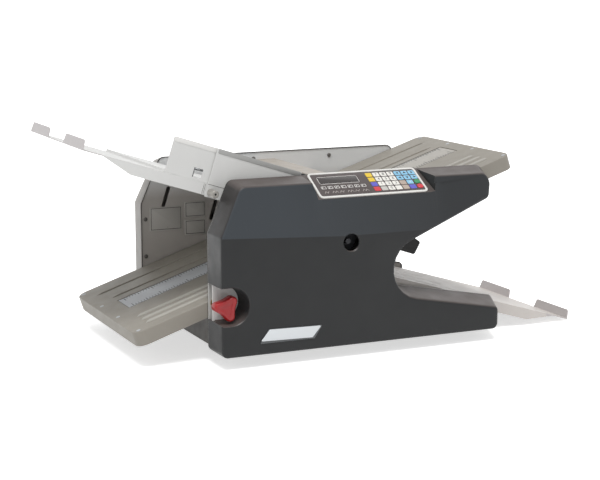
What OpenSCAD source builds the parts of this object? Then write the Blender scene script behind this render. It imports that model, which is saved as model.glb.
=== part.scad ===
// Desktop paper folding machine: two side frames, a stack of fold rollers, two fold tables and two trays.
// X runs along the paper path, Y across it (the operator is on the -Y side), Z is up.
// The origin lies on the desk, under the middle of the whole machine.

/* [Frame] */
// Clearance between a fold table and each side plate
table_side = 10.5; // [9.5:0.5:14]
// Thickness of a side plate
plate_t = 2; // [1.5:0.1:3]
// Length of the side plates along the paper path
frame_len = 512; // [505:1:540]
// Height of the machine's top edge above the desk
frame_top = 287; // [284:1:292]
// Height of the covers' lower edge above the desk
foot_h = 20; // [14:1:24]
// Height at which the left end starts to lean in
lean_start = 205; // [190:1:215]
// How far the left end leans in at the top
lean_in = 30; // [20:1:36]
// How far the upper arm stops short of the lower arm
arm_setback = 24; // [12:1:34]
// Diameter of the round cross rods
rod_d = 12; // [8:0.5:16]
// Diameter of a rubber foot
foot_d = 30; // [20:1:36]

/* [Throat] */
// Distance from the frame's right end to the centre of the throat's arc
throat_depth = 167; // [160:1:172]
// Height of the centre of the throat's arc
throat_z = 134; // [130:1:138]
// Radius of the throat's arc at the frame
throat_r = 39; // [34:0.5:42]
// Slope of the underside of the upper arm
throat_up = 22; // [18:0.5:24]
// Slope of the top of the lower arm
throat_down = 10.5; // [9:0.5:12]

/* [Covers] */
// Depth of the front cover
front_depth = 58; // [54:1:70]
// Depth of the rear cover
rear_depth = 33; // [30:1:45]
// Wall of both covers
cover_wall = 3; // [2:0.25:4]
// How far the covers' top slopes in towards their outer face
cover_slope = 14; // [8:1:18]
// Chamfer round the covers' outer face
cover_chamfer = 6; // [3:0.5:8]
// Radius of the access hole in the front cover
access_r = 13.5; // [11:0.5:16]
// Radius of the knob recess
recess_r = 29; // [28.5:0.5:31]
// Width of the black edge trim
trim_w = 3; // [2:0.25:4]

/* [Control panel] */
// Length of the control panel
panel_len = 192; // [180:1:200]
// Distance from the frame's left end to the control panel
panel_start = 166; // [160:1:172]
// Depth of the control panel down its slope
panel_depth = 63; // [60:1:66]
// Slope of the control panel
panel_tilt = 30; // [26:1:32]
// Width of the white bezel
bezel_w = 4; // [3:0.25:4.5]
// Distance between two keys
key_pitch = 12.8; // [12.4:0.1:13]
// Distance between two rows of keys
key_row = 12; // [11:0.25:12.5]
// Height of a key above the overlay
key_h = 0.8; // [0.4:0.1:1.5]
// Travel of the start and stop keys
key_travel = 0.6; // [0.3:0.1:0.8]

/* [Fold rollers] */
// Distance between the centres of two neighbouring fold rollers
roller_pitch = 40; // [38:1:42]
// Gap between two fold rollers
roller_nip = 0.4; // [0.3:0.05:0.8]
// Diameter of the roller shafts
shaft_d = 10; // [8:0.5:12]
// Distance from the frame's left end to the main fold roller
main_x = 219; // [215:1:223]
// Height of the main fold roller
main_z = 185; // [183:1:187]
// Direction from the main roller to the upper roller
upper_dir = 82; // [78:1:86]
// Direction from the main roller to the left roller
left_dir = 201; // [198:1:204]
// Direction from the left roller to the lower roller
lower_dir = 262; // [258:1:266]
// Outer diameter of a bush in the side plates
bush_d = 16; // [14:0.5:18]
// Radial clearance between a shaft and its bush
bush_clear = 0.08; // [0.05:0.01:0.1]
// Teeth on each roller gear
gear_teeth = 40; // [36:2:44]
// Width of a roller gear
gear_w = 8; // [6:0.5:9]

/* [Feed and exit] */
// Diameter of the feed roller's tyres
feed_d = 36; // [32:1:38]
// Distance from the main roller to the feed roller
feed_dx = 69; // [66:1:76]
// Height of the feed roller above the main roller
feed_dz = 51; // [49:1:53]
// Diameter of the exit wheels
exit_d = 20; // [18:0.5:21]
// Distance from the main roller back to the exit wheels
exit_dx = 79; // [78:1:81]
// How far the driven exit wheels lie below the main roller
exit_dz = 40; // [39:1:41]
// Gap between the exit wheels
exit_nip = 0.4; // [0.3:0.05:0.8]

/* [Drive] */
// Diameter of the drive motor
motor_d = 64; // [56:1:66]
// Length of the drive motor
motor_len = 120; // [90:1:140]
// Distance from the main roller back to the motor
motor_dx = 74; // [72:1:76]
// Height of the motor's axis above the desk
motor_z = 72; // [68:1:73]
// Radius of the large pulley on the main roller
main_pulley_r = 20; // [16:0.5:22]
// Radius of the motor's pulley to the main roller
motor_pulley_r = 10; // [8:0.5:12]
// Radius of the equal pulleys of the hand knob and the motor
knob_pulley_r = 7; // [6:0.5:7.5]
// Radius of the equal pulleys of the feed and exit belts
small_pulley_r = 9; // [8:0.5:10]
// Thickness of a belt
belt_t = 1.6; // [1.2:0.1:2]
// Width of a belt
belt_w = 6; // [4:0.5:7]
// Running gap between a belt and its pulley
belt_gap = 0.3; // [0.2:0.05:0.5]

/* [Hand knob] */
// Distance from the frame's left end to the hand knob
knob_x = 13; // [12:0.5:16]
// Height of the hand knob
knob_z = 96; // [92:0.5:100]
// Outer radius of the hand knob's lobes
knob_r = 21.5; // [20:0.5:23]
// Lobes on the hand knob
knob_lobes = 3; // [3:1:6]
// Thickness of the hand knob
knob_t = 18; // [12:0.5:22]

/* [Fold tables] */
// Length of the thumb screws' heads
thumb_len = 22; // [14:1:26]
// Width of a fold table
table_w = 293; // [285:1:330]
// Thickness of the sheet of a fold table
sheet_t = 1.5; // [1:0.1:1.8]
// Depth of the side flanges of a fold table
flange_h = 18; // [14:0.5:20]
// Paper gap between the two sheets of a fold table
pocket_h = 2.6; // [2:0.1:3]
// Height of the tabs at the end of a fold table
tab_h = 15; // [10:1:18]
// Length of one tab across the table
tab_len = 105; // [90:1:110]
// Distance from the table's end to the start of its flange
flange_start = 28; // [20:1:34]
// Distance from the table's end to the flange's full depth
flange_full = 83; // [70:1:90]
// Distance from fold table 1's end to the start of its far flange
far_start = 186; // [170:1:190]
// Distance from fold table 1's end to its far flange's full depth
far_full = 204; // [195:1:206]
// Radius of a tab's corners
tab_corner = 5; // [2:0.5:7]
// Slope of fold table 1
table_1_tilt = 17.7; // [17.2:0.1:18]
// Length of fold table 1
table_1_len = 400; // [380:1:450]
// Distance from the frame's left end to fold table 1's inner end
table_1_in = 190; // [186:1:192]
// Height of fold table 1's inner end
table_1_z = 222.4; // [220:0.1:225]
// Slope of fold table 2
table_2_tilt = 16.7; // [16.3:0.1:17]
// Length of fold table 2
table_2_len = 494; // [480:1:497]
// Distance from the frame's left end to fold table 2's inner end
table_2_in = 203; // [203:1:210]
// Height of fold table 2's inner end
table_2_z = 146; // [145:0.5:150]
// Length of table 1's upper sheet
upper_1_len = 266; // [260:1:280]
// Length of table 2's upper sheet
upper_2_len = 134; // [130:1:150]
// Height of the side wall on fold table 1
wall_h = 54; // [46:1:58]
// Side of the square window in that wall
window = 15; // [10:1:20]
// Travel of a fold stop
stop_travel = 180; // [150:5:185]
// Width of a slot for the stop's fingers
slot_w = 5; // [4:0.5:6]

/* [Trays] */
// Clearance between a tray and each side plate
tray_side = 2.5; // [1.5:0.5:4]
// Height of a tray's rim
tray_rim = 24; // [16:1:26]
// Wall of a tray
tray_wall = 2.5; // [2:0.25:3]
// Radius of a tray's outer corners
tray_corner = 18; // [8:1:30]
// Slope of both trays
tray_tilt = 18.4; // [17.8:0.1:18.8]
// Length of the exit tray
exit_len = 254; // [246:1:256]
// Distance that the exit tray reaches out past the frame's left end
exit_out = 119; // [115:1:124]
// Height of the exit tray's outer end
exit_z = 58; // [56:0.5:60]
// Length of the feed tray
feed_len = 232; // [226:1:236]
// Distance that the feed tray reaches out past the frame's right end
feed_out = 35; // [30:1:40]
// Height of the feed tray's outer end
feed_z = 301; // [299:0.5:303]
// Width of the scale strip in each tray
strip_w = 56; // [40:1:64]
// Height of a rib on a tray
rib_h = 1.4; // [0.8:0.1:2]

/* [Hidden] */

// Places along X before the shift, which centres the whole machine
frame_mid = 6;
left_x = frame_mid - frame_len / 2;
right_x = left_x + frame_len;
arm_x = right_x - arm_setback;
frame_gap = table_w + 2 * table_side;
plate_y = frame_gap / 2;
tray_w = frame_gap - 2 * tray_side;
cover_y = plate_y + plate_t;
front_y = -cover_y - front_depth;
rear_y = cover_y + rear_depth;
name_t = 2;
inlet_t = 2;

top_r = 14;
low_r = 10;
fine = 64;
soft = 32;
eps = 0.01;
fit = 0.3;

main_c = [left_x + main_x, main_z];
roller_r = (roller_pitch - roller_nip) / 2;
shaft_r = shaft_d / 2;
function beside(p, dir, dist) = p + dist * [cos(dir), sin(dir)];
upper_c = beside(main_c, upper_dir, roller_pitch);
left_c = beside(main_c, left_dir, roller_pitch);
lower_c = beside(left_c, lower_dir, roller_pitch);
feed_c = main_c + [feed_dx, feed_dz];
exit_c = main_c - [exit_dx, exit_dz];
idler_c = exit_c + [0, exit_d + exit_nip];
motor_c = [main_c[0] - motor_dx, motor_z];
knob_c = [left_x + knob_x, knob_z];
throat_c = [right_x - throat_depth, throat_z];

// Layers outside the near side plate, in the order of the drive
bush_flange = 2;
gear_y = -cover_y - bush_flange - 1;
belt_1_y = gear_y - gear_w - 3;
belt_2_y = belt_1_y - belt_w - 3;
knob_belt_y = gear_y;

tooth_pitch = 360 / gear_teeth;
main_phase = 0;
upper_phase = 2 * upper_dir + 180 - main_phase + tooth_pitch / 2;
left_phase = 2 * left_dir + 180 - main_phase + tooth_pitch / 2;
lower_phase = 2 * lower_dir + 180 - left_phase + tooth_pitch / 2;

table_1_end = [left_x + table_1_in - table_1_len * cos(table_1_tilt), table_1_z + table_1_len * sin(table_1_tilt)];
table_2_end = [left_x + table_2_in + table_2_len * cos(table_2_tilt), table_2_z - table_2_len * sin(table_2_tilt)];
exit_end = [left_x - exit_out, exit_z];
feed_end = [right_x + feed_out, feed_z];
upper_1_start = table_1_len - upper_1_len;
upper_2_start = table_2_len - upper_2_len;

// The shift that centres the machine's box over the origin
x_low = table_1_end[0] - sheet_t * sin(table_1_tilt);
x_high = table_2_end[0] + tab_h * sin(table_2_tilt);
shift = [-(x_low + x_high) / 2, -(front_y - name_t + rear_y + inlet_t) / 2, 0];

// Shapes in the plane of the side frames, drawn as X and Z and given a depth along Y
module across(y_low, y_high) {
  translate([0, y_high, 0]) rotate([90, 0, 0]) linear_extrude(y_high - y_low) children();
}

module rod(p, y_low, y_high, r) {
  translate([p[0], y_high, p[1]]) rotate([90, 0, 0]) cylinder(r = r, h = y_high - y_low, $fn = fine);
}

// The corners of a side frame; "drop" lowers the top, "pull" draws in the right end, "trim" shrinks all round
module frame_corners(drop, pull, trim) {
  translate([left_x + low_r, foot_h + low_r]) circle(r = low_r - trim, $fn = soft);
  translate([left_x + low_r, lean_start]) circle(r = low_r - trim, $fn = soft);
  translate([left_x + lean_in + top_r, frame_top - top_r - drop]) circle(r = top_r - trim, $fn = soft);
  translate([arm_x - top_r - pull, frame_top - top_r - drop]) circle(r = top_r - trim, $fn = soft);
  translate([right_x - low_r - pull * 1.6, foot_h + low_r]) circle(r = low_r - trim, $fn = soft);
}

// The open throat between the two arms
module throat_shape(r) {
  reach = 2 * throat_depth;
  up = throat_c + r * [-sin(throat_up), cos(throat_up)];
  down = throat_c + r * [-sin(throat_down), -cos(throat_down)];
  translate(throat_c) circle(r = r, $fn = soft * 2);
  polygon([up, up + reach * [cos(throat_up), sin(throat_up)],
    down + reach * [cos(throat_down), -sin(throat_down)], down]);
}

// The outer form of a cover: "side" is -1 for the front cover and 1 for the rear one
module cover_form(side, depth, wall) {
  flat = side * (cover_y + depth - cover_chamfer);
  face = side * (cover_y + depth - wall);
  near = side * cover_y;
  share = depth / front_depth;
  hull() {
    across(min(near, near + side), max(near, near + side)) frame_corners(0, 0, wall);
    across(min(flat, flat - side), max(flat, flat - side))
      frame_corners(cover_slope * share * 0.9, cover_slope * share, wall);
    across(min(face, face - side), max(face, face - side))
      frame_corners(cover_slope * share, cover_slope * share, wall + cover_chamfer * 0.6);
  }
}

module throat_form(side, depth, wall) {
  near = side * (cover_y - 1);
  face = side * (cover_y + depth + 1);
  hull() {
    across(min(near, near + side), max(near, near + side)) throat_shape(throat_r - wall);
    across(min(face, face - side), max(face, face - side))
      throat_shape(throat_r + 11 * depth / front_depth - wall);
  }
}

module cover_shell(side, depth) {
  difference() {
    cover_form(side, depth, 0);
    throat_form(side, depth, 0);
    difference() {
      translate([0, -side * eps, 0]) cover_form(side, depth, cover_wall);
      throat_form(side, depth, -cover_wall);
    }
  }
}

// The control panel's own frame: X along the machine, Y down the slope is negative, Z out of the panel
panel_x = left_x + panel_start;
module on_panel() {
  translate([panel_x, -cover_y, frame_top + 1]) rotate([panel_tilt, 0, 0]) children();
}

module panel_block(grow, low, high) {
  on_panel() translate([-grow, -front_depth * 1.4, low])
    cube([panel_len + 2 * grow, front_depth * 1.4 + 2, high - low]);
}

module recess_shape(grow) {
  middle = knob_z + recess_up;
  translate([left_x + knob_x + 3, middle]) circle(r = recess_r + grow, $fn = fine);
  translate([left_x - 6, middle - recess_r - grow]) square([knob_x + 9, 2 * (recess_r + grow)]);
}

// The recess reaches further up than the knob does
recess_up = 4;
recess_floor = cover_y + 17;

module front_cover() {
  color([0.20, 0.205, 0.21]) difference() {
    union() {
      cover_shell(-1, front_depth);
      intersection() {
        cover_form(-1, front_depth, 0);
        panel_block(cover_wall, -cover_wall, 30);
      }
      intersection() {
        across(front_y + cover_wall, -recess_floor) recess_shape(2.5);
        translate([left_x + 2, front_y, 0]) cube([80, front_depth, frame_top]);
      }
    }
    panel_block(0, 0, 40);
    across(front_y - 1, -recess_floor + plate_t + fit) recess_shape(0);
    rod(main_c, front_y - 1, front_y + 3 * cover_wall, access_r);
  }
}

module rear_cover() {
  color([0.62, 0.61, 0.60]) difference() {
    cover_shell(1, rear_depth);
    translate([inlet_x, rear_y - 6, inlet_z]) cube([inlet_w, 12, inlet_h]);
    for (i = [0:7]) translate([left_x + 250 + 9 * i, rear_y - 6, 62]) cube([4, 12, 30]);
  }
}

// Side plates of sheet steel, with bores for the bushes and the slots for the table hangers
bush_bore = bush_d / 2 + 0.02;
bearing_points = [main_c, upper_c, left_c, lower_c, feed_c, exit_c, idler_c];
slot_1 = [left_x + 52, 235];
slot_2 = [left_x + 140, 207];
slot_len = 38;
hanger_r = 3.6;
module hanger_slot() {
  for (z = [-hanger_r, hanger_r - slot_len]) translate([0, z]) circle(r = hanger_r, $fn = fine);
  translate([-hanger_r, hanger_r - slot_len]) square([2 * hanger_r, slot_len - 2 * hanger_r]);
}

module side_plate(y_low) {
  difference() {
    hull() across(y_low, y_low + plate_t) frame_corners(0.5, 0.5, 0.5);
    across(y_low - 1, y_low + plate_t + 1) throat_shape(throat_r - 0.5);
    for (p = bearing_points) rod(p, y_low - 1, y_low + plate_t + 1, bush_bore);
    for (p = [slot_1, slot_2]) translate([p[0], 0, p[1]]) rotate([0, table_1_tilt, 0])
      across(y_low - 1, y_low + plate_t + 1) hanger_slot();
    children();
  }
}

module near_side_plate() {
  color([0.86, 0.86, 0.85]) side_plate(-cover_y) {
    rod(knob_c, -cover_y - 1, -plate_y + 1, bush_bore);
    rod(motor_c, -cover_y - 1, -plate_y + 1, 14);
    rod(lever_c, -cover_y - 1, -plate_y + 1, lever_pin_r + bush_clear);
  }
}

module far_side_plate() {
  color([0.78, 0.78, 0.77]) side_plate(plate_y) {}
}

pan_left = left_x + 26;
pan_right = right_x - 12;
pan_y = plate_y - fit;

module base_pan() {
  lip = 14;
  color([0.30, 0.30, 0.31]) difference() {
    translate([pan_left, -pan_y, foot_h]) cube([pan_right - pan_left, 2 * pan_y, lip]);
    translate([pan_left + plate_t, -pan_y + plate_t, foot_h + plate_t])
      cube([pan_right - pan_left - 2 * plate_t, 2 * (pan_y - plate_t), lip]);
    for (x = foot_xs, y = foot_ys) translate([x, y, foot_h - 1]) cylinder(r = 3, h = 9, $fn = fine);
  }
}

foot_xs = [left_x + 52, right_x - 46];
foot_ys = [-plate_y + 34, plate_y - 34];

module feet() {
  color([0.07, 0.07, 0.07]) for (x = foot_xs, y = foot_ys) translate([x, y, 0]) {
    difference() {
      cylinder(r1 = foot_d / 2 - 2.5, r2 = foot_d / 2, h = foot_h, $fn = fine);
      translate([0, 0, -1]) cylinder(r = 5, h = 5, $fn = fine);
    }
    translate([0, 0, foot_h - 1]) cylinder(r = 2.9, h = 8, $fn = fine);
  }
}

// The sheet that closes the frame under the exit tray
panel_low = foot_h + 9;
panel_high = exit_z + exit_out * tan(tray_tilt) - tray_rim / cos(tray_tilt) - 1.2;
module cross_panel() {
  start = left_x + trim_w + fit;
  color([0.42, 0.40, 0.38]) {
    translate([start, -plate_y, panel_low]) cube([plate_t, frame_gap, panel_high - panel_low]);
    translate([start, -plate_y, panel_low]) cube([pan_left - start, frame_gap, plate_t]);
  }
}

// The feed guard's thickness, start, flat part and slanted part
guard_t = 1.5;
guard_x = left_x + 216;
guard_z = 272;
guard_flat = 35;
guard_drop = 72;

// The cross rods' places: two in the base, one under the rollers, one under the feed guard
rod_points = [[left_x + 90, 44], [right_x - 110, 44], [left_x + 288, 62], [guard_x + 46, guard_z - 14]];
module cross_rods() {
  color([0.68, 0.69, 0.70]) for (p = rod_points) rod(p, -plate_y, plate_y, rod_d / 2);
}

// Black trim that covers the edge between each cover and its side plate, seen from inside
module edge_trim(y_low) {
  difference() {
    hull() across(y_low, y_low + 1) frame_corners(0.2, 0.2, 0.2);
    hull() across(y_low - 1, y_low + 2) frame_corners(trim_w, trim_w, trim_w * 0.8);
    across(y_low - 1, y_low + 2) throat_shape(throat_r);
    translate([left_x, y_low - 1, 0]) cube([frame_len, 3, panel_low]);
  }
}

module edge_trims() {
  color([0.05, 0.05, 0.05]) {
    edge_trim(plate_y - 1);
    edge_trim(-plate_y);
  }
}

screw_points = [[left_x + 8, 180], [left_x + 8, 115], [left_x + 211, 275], [left_x + 359, 274]];
module cover_screws() {
  color([0.72, 0.71, 0.69]) for (p = screw_points, side = [-1, 1]) {
    head = side * (plate_y - 2);
    rod(p, min(head, side * plate_y), max(head, side * plate_y), 3.6);
  }
}

// Blank label plates: three inside the far side plate, and the raised slanted one on the front cover
name_w = 91;
name_h = 22;
name_lean = 15;
module label_plates() {
  color([0.90, 0.90, 0.89]) {
    label_plate(left_x + 16, 158, 59, 42);
    label_plate(left_x + 80, 178, 39, 28);
    label_plate(left_x + 80, 147, 39, 27);
    translate([left_x + 62, 0, 38]) across(front_y - name_t, front_y)
      polygon([[0, 2], [name_w, 0], [name_w + name_lean, name_h - 2], [name_lean, name_h]]);
  }
}

module label_plate(x, z, w, h) {
  translate([x, plate_y - 0.8, z]) cube([w, 0.8, h]);
}

// The control panel's outline with round corners, drawn in by "gap" all round
bezel_corner = 7;
module panel_outline(gap, r) {
  x = [gap + r, panel_len - gap - r];
  y = [-panel_depth + gap + r, -gap - r];
  for (i = [0, 1], j = [0, 1]) translate([x[i], y[j]]) circle(r = r, $fn = soft);
  translate([x[0] - r, y[0]]) square([x[1] - x[0] + 2 * r, y[1] - y[0]]);
  translate([x[0], y[0] - r]) square([x[1] - x[0], y[1] - y[0] + 2 * r]);
}

module panel_bezel() {
  color([0.92, 0.92, 0.91]) on_panel() difference() {
    linear_extrude(2) panel_outline(fit, bezel_corner);
    translate([0, 0, -1]) linear_extrude(4) panel_outline(bezel_w, bezel_corner - bezel_w + fit);
  }
}

overlay_t = 1.2;
module keypad_overlay() {
  color([0.27, 0.24, 0.24]) on_panel() difference() {
    linear_extrude(overlay_t) panel_outline(bezel_w, bezel_corner - bezel_w + fit);
    translate([window_x - fit, window_y - fit, 0.4])
      cube([window_w + 2 * fit, window_h + 2 * fit, overlay_t]);
    for (row = [2, 3]) translate([key_xs(6), key_ys(row), -1])
      cylinder(r = round_key_r + fit, h = overlay_t + 2, $fn = fine);
  }
}

window_x = 15;
window_y = -27;
window_w = 66;
window_h = 14;
module display_window() {
  color([0.16, 0.14, 0.13]) on_panel() translate([window_x, window_y, 0.4])
    cube([window_w, window_h, overlay_t]);
}

key_w = 11.2;
key_d = 10.2;
round_key_r = 5.2;
key_margin = 6.2;
first_key = panel_len - bezel_w - key_margin - 6 * key_pitch;
function key_xs(i) = first_key + key_pitch * i;
function key_ys(j) = -13 - key_row * j;

module key_caps(columns, rows) {
  on_panel() for (i = columns, j = rows)
    translate([key_xs(i) - key_w / 2, key_ys(j) - key_d / 2, overlay_t]) cube([key_w, key_d, key_h]);
}

module number_keys() { color([0.93, 0.93, 0.90]) key_caps([1:3], [0:3]); }
module function_keys() {
  color([0.93, 0.80, 0.20]) {
    key_caps([0], [0:3]);
    key_caps([4:6], [0:1]);
    key_caps([4:5], [2:3]);
  }
}

// A key that travels: its cap stands in a hole of the overlay, over its switch
module travel_key(row) {
  on_panel() translate([key_xs(6), key_ys(row), key_travel + 0.1])
    cylinder(r = round_key_r, h = overlay_t + key_h, $fn = fine);
}

module start_key() { color([0.20, 0.62, 0.30]) travel_key(2); }
module stop_key() { color([0.80, 0.15, 0.15]) travel_key(3); }

// Two circuit boards on their pillars: one under the control panel, one with the mains parts behind
// the far side plate
board_z = 52;
board_t = 1.6;
pillar = 6;
module circuit_boards() {
  drop = cover_wall + pillar;
  color([0.10, 0.38, 0.20]) on_panel() {
    translate([12, -panel_depth + 12, -drop - board_t]) cube([panel_len - 24, panel_depth - 28, board_t]);
    for (x = [18, panel_len - 18], y = [-panel_depth + 18, -24])
      translate([x, y, -drop]) cylinder(r = 3, h = pillar, $fn = fine);
  }
  color([0.12, 0.34, 0.18]) {
    face = cover_y + pillar + board_t;
    translate([left_x + 120, cover_y + pillar, board_z]) cube([110, board_t, 70]);
    for (x = [left_x + 126, left_x + 224], z = [board_z + 6, board_z + 64])
      rod([x, z], cover_y, cover_y + pillar, 3);
    translate([left_x + 132, face, board_z + 12]) cube([34, 16, 28]);
    rod([left_x + 200, board_z + 40], face, face + 14, 11);
  }
}

// Drive motor between the plates; its pilot stands in the near plate's hole
module drive_motor() {
  color([0.35, 0.36, 0.38]) difference() {
    union() {
      rod(motor_c, -plate_y + fit, -plate_y + motor_len, motor_d / 2);
      rod(motor_c, -cover_y, -plate_y + 1, 13.9);
    }
    rod(motor_c, -cover_y - 1, -plate_y + 20, 4 + bush_clear);
  }
}

module motor_pulley() {
  color([0.75, 0.76, 0.78]) {
    rod(motor_c, belt_2_y - belt_w - 2, -plate_y + 15, 4);
    rod(motor_c, knob_belt_y - gear_w, knob_belt_y, knob_pulley_r);
    rod(motor_c, belt_2_y - belt_w - 1, belt_2_y + 1, motor_pulley_r);
  }
}

// A flat belt round two pulleys, as a closed ring with straight runs
module belt_ring(p, rp, q, rq) {
  difference() {
    belt_field(p, rp + belt_gap + belt_t, q, rq + belt_gap + belt_t);
    belt_field(p, rp + belt_gap, q, rq + belt_gap);
  }
}

module belt_field(p, rp, q, rq) {
  gap = norm(q - p);
  dir = atan2(q[1] - p[1], q[0] - p[0]);
  open = acos((rp - rq) / gap);
  translate(p) circle(r = rp, $fn = fine);
  translate(q) circle(r = rq, $fn = fine);
  polygon([beside(p, dir + open, rp), beside(q, dir + open, rq), beside(q, dir - open, rq),
    beside(p, dir - open, rp)]);
}

module drive_belts() {
  color([0.06, 0.06, 0.06]) {
    across(belt_2_y - belt_w, belt_2_y) belt_ring(motor_c, motor_pulley_r, main_c, main_pulley_r);
    across(knob_belt_y - gear_w + 1, knob_belt_y - 1)
      belt_ring(knob_c, knob_pulley_r, motor_c, knob_pulley_r);
    across(belt_1_y - belt_w, belt_1_y) belt_ring(upper_c, small_pulley_r, feed_c, small_pulley_r);
    across(belt_1_y - belt_w, belt_1_y) belt_ring(lower_c, small_pulley_r, exit_c, small_pulley_r);
  }
}

// Flanged bushes in both side plates
module bush(p, side) {
  wall = side * plate_y;
  flange = side * (cover_y + bush_flange);
  difference() {
    union() {
      rod(p, min(wall, flange), max(wall, flange), bush_d / 2);
      rod(p, min(side * cover_y, flange), max(side * cover_y, flange), bush_d / 2 + 1.5);
    }
    rod(p, min(wall, flange) - 1, max(wall, flange) + 1, shaft_r + bush_clear);
  }
}

module roller_bushes() {
  color([0.72, 0.56, 0.28]) {
    for (p = bearing_points, side = [-1, 1]) bush(p, side);
    bush(knob_c, -1);
  }
}

// A fold roller with its journals: the near end carries the gear and, on some rollers, a pulley
far_end = cover_y + bush_flange + 4;
roller_len = frame_gap / 2 - 2;
module fold_roller(p, near_end, pulley_y, pulley_r) {
  color([0.30, 0.31, 0.33]) {
    rod(p, -roller_len, roller_len, roller_r);
    rod(p, near_end, far_end, shaft_r);
    if (pulley_r > 0) rod(p, pulley_y - belt_w - 1, pulley_y + 1, pulley_r);
  }
}

hex_len = 12;
module main_roller() {
  fold_roller(main_c, belt_2_y - belt_w - 4, belt_2_y, main_pulley_r);
  color([0.70, 0.71, 0.72]) translate([main_c[0], belt_2_y - belt_w - 4, main_c[1]]) rotate([90, 0, 0])
    cylinder(r = shaft_r * 0.95, h = hex_len, $fn = 6);
}

module upper_roller() { fold_roller(upper_c, belt_1_y - belt_w - 2, belt_1_y, small_pulley_r); }
module left_roller() { fold_roller(left_c, gear_y - gear_w - 1, 0, 0); }
module lower_roller() { fold_roller(lower_c, belt_1_y - belt_w - 2, belt_1_y, small_pulley_r); }

// A spur gear with straight-sided teeth; "phase" is the direction of one tooth
tooth_out = 0.022 * roller_pitch;
tooth_in = 0.029 * roller_pitch;
function tooth_points(phase) = let (
    r = roller_pitch / 2, half = roller_pitch * PI / gear_teeth / 4 - 0.16,
    top = half - tooth_out * tan(20), foot = half + tooth_in * tan(20))
  [for (i = [0:gear_teeth - 1], k = [[-foot, -tooth_in], [-top, tooth_out], [top, tooth_out], [foot, -tooth_in]])
    let (a = phase + i * tooth_pitch + k[0] / (r + k[1]) * 180 / PI) (r + k[1]) * [cos(a), sin(a)]];

module roller_gear(p, phase) {
  color([0.88, 0.87, 0.80]) difference() {
    translate([p[0], 0, p[1]]) across(gear_y - gear_w, gear_y) polygon(tooth_points(phase));
    rod(p, gear_y - gear_w - 1, gear_y + 1, shaft_r);
  }
}

module main_gear() { roller_gear(main_c, main_phase); }
module upper_gear() { roller_gear(upper_c, upper_phase); }
module left_gear() { roller_gear(left_c, left_phase); }
module lower_gear() { roller_gear(lower_c, lower_phase); }

tyre_ys = [-36, 36];
tyre_w = 34;
module feed_shaft() {
  color([0.72, 0.73, 0.75]) {
    rod(feed_c, belt_1_y - belt_w - 24, far_end, shaft_r);
    rod(feed_c, belt_1_y - belt_w - 1, belt_1_y + 1, small_pulley_r);
    for (y = tyre_ys) rod(feed_c, y - tyre_w / 2, y + tyre_w / 2, feed_d / 2 - 6);
  }
}

module feed_tyres() {
  color([0.55, 0.30, 0.16]) for (y = tyre_ys) difference() {
    rod(feed_c, y - tyre_w / 2, y + tyre_w / 2, feed_d / 2);
    rod(feed_c, y - tyre_w / 2 - 1, y + tyre_w / 2 + 1, feed_d / 2 - 6);
  }
}

// Clutch on the end of the feed shaft
module feed_clutch() {
  clutch_y = belt_1_y - belt_w - 3;
  color([0.20, 0.20, 0.22]) difference() {
    rod(feed_c, clutch_y - 16, clutch_y, 17);
    rod(feed_c, clutch_y - 17, clutch_y + 1, shaft_r);
  }
}

// The paper path's plane down from the feed tray: height at a given X
function feed_line(x) = feed_z - (feed_end[0] - x) * tan(tray_tilt);
pad_len = 26;
pad_w = 60;
module on_feed_line(x) {
  translate([x, 0, feed_line(x)]) rotate([0, -tray_tilt, 0]) children();
}

module retard_pad() {
  color([0.35, 0.16, 0.12]) on_feed_line(feed_c[0] + 2)
    translate([-pad_len / 2, -pad_w / 2, -9]) cube([pad_len, pad_w, 9 - fit]);
}

infeed_right = feed_end[0] - (feed_len + 2) * cos(tray_tilt);
infeed_len = 76;
module infeed_plate() {
  color([0.80, 0.80, 0.79]) on_feed_line(infeed_right) difference() {
    union() {
      translate([-infeed_len, -plate_y, -sheet_t]) cube([infeed_len, frame_gap, sheet_t]);
      translate([-infeed_len * 0.75, -pad_w / 2 - 6, -13]) cube([infeed_len * 0.5, pad_w + 12, 13]);
      for (y = [-plate_y, plate_y - sheet_t]) translate([-infeed_len * 0.8, y, -16])
        cube([infeed_len * 0.6, sheet_t, 16]);
    }
    pad_pocket();
  }
}

// Pocket in the infeed plate that holds the retard pad
module pad_pocket() {
  centre = (feed_c[0] + 2 - infeed_right) / cos(tray_tilt);
  translate([centre - pad_len / 2 - fit, -pad_w / 2 - fit, -9 - fit])
    cube([pad_len + 2 * fit, pad_w + 2 * fit, 20]);
}

// Bent guard over the feed roller, from plate to plate
module feed_guard() {
  bend = guard_x + guard_flat;
  tip = [bend + guard_drop * cos(table_1_tilt), guard_z - guard_drop * sin(table_1_tilt)];
  color([0.70, 0.68, 0.64]) {
    across(-plate_y, plate_y) polygon([[guard_x, guard_z], [bend, guard_z], tip, tip + [0, guard_t],
      [bend, guard_z + guard_t], [guard_x, guard_z + guard_t]]);
    for (y = [-plate_y, plate_y - guard_t]) translate([guard_x, y, guard_z - 10])
      cube([guard_flat, guard_t, 10]);
  }
}

wheel_ys = [-110, -40, 40, 110];
wheel_w = 12;
module exit_shaft() {
  color([0.72, 0.73, 0.75]) {
    rod(exit_c, belt_1_y - belt_w - 2, far_end, shaft_r);
    rod(exit_c, belt_1_y - belt_w - 1, belt_1_y + 1, small_pulley_r);
  }
}

module exit_wheels() {
  color([0.10, 0.10, 0.10]) for (y = wheel_ys) difference() {
    rod(exit_c, y - wheel_w / 2, y + wheel_w / 2, exit_d / 2);
    rod(exit_c, y - wheel_w / 2 - 1, y + wheel_w / 2 + 1, shaft_r);
  }
}

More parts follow.
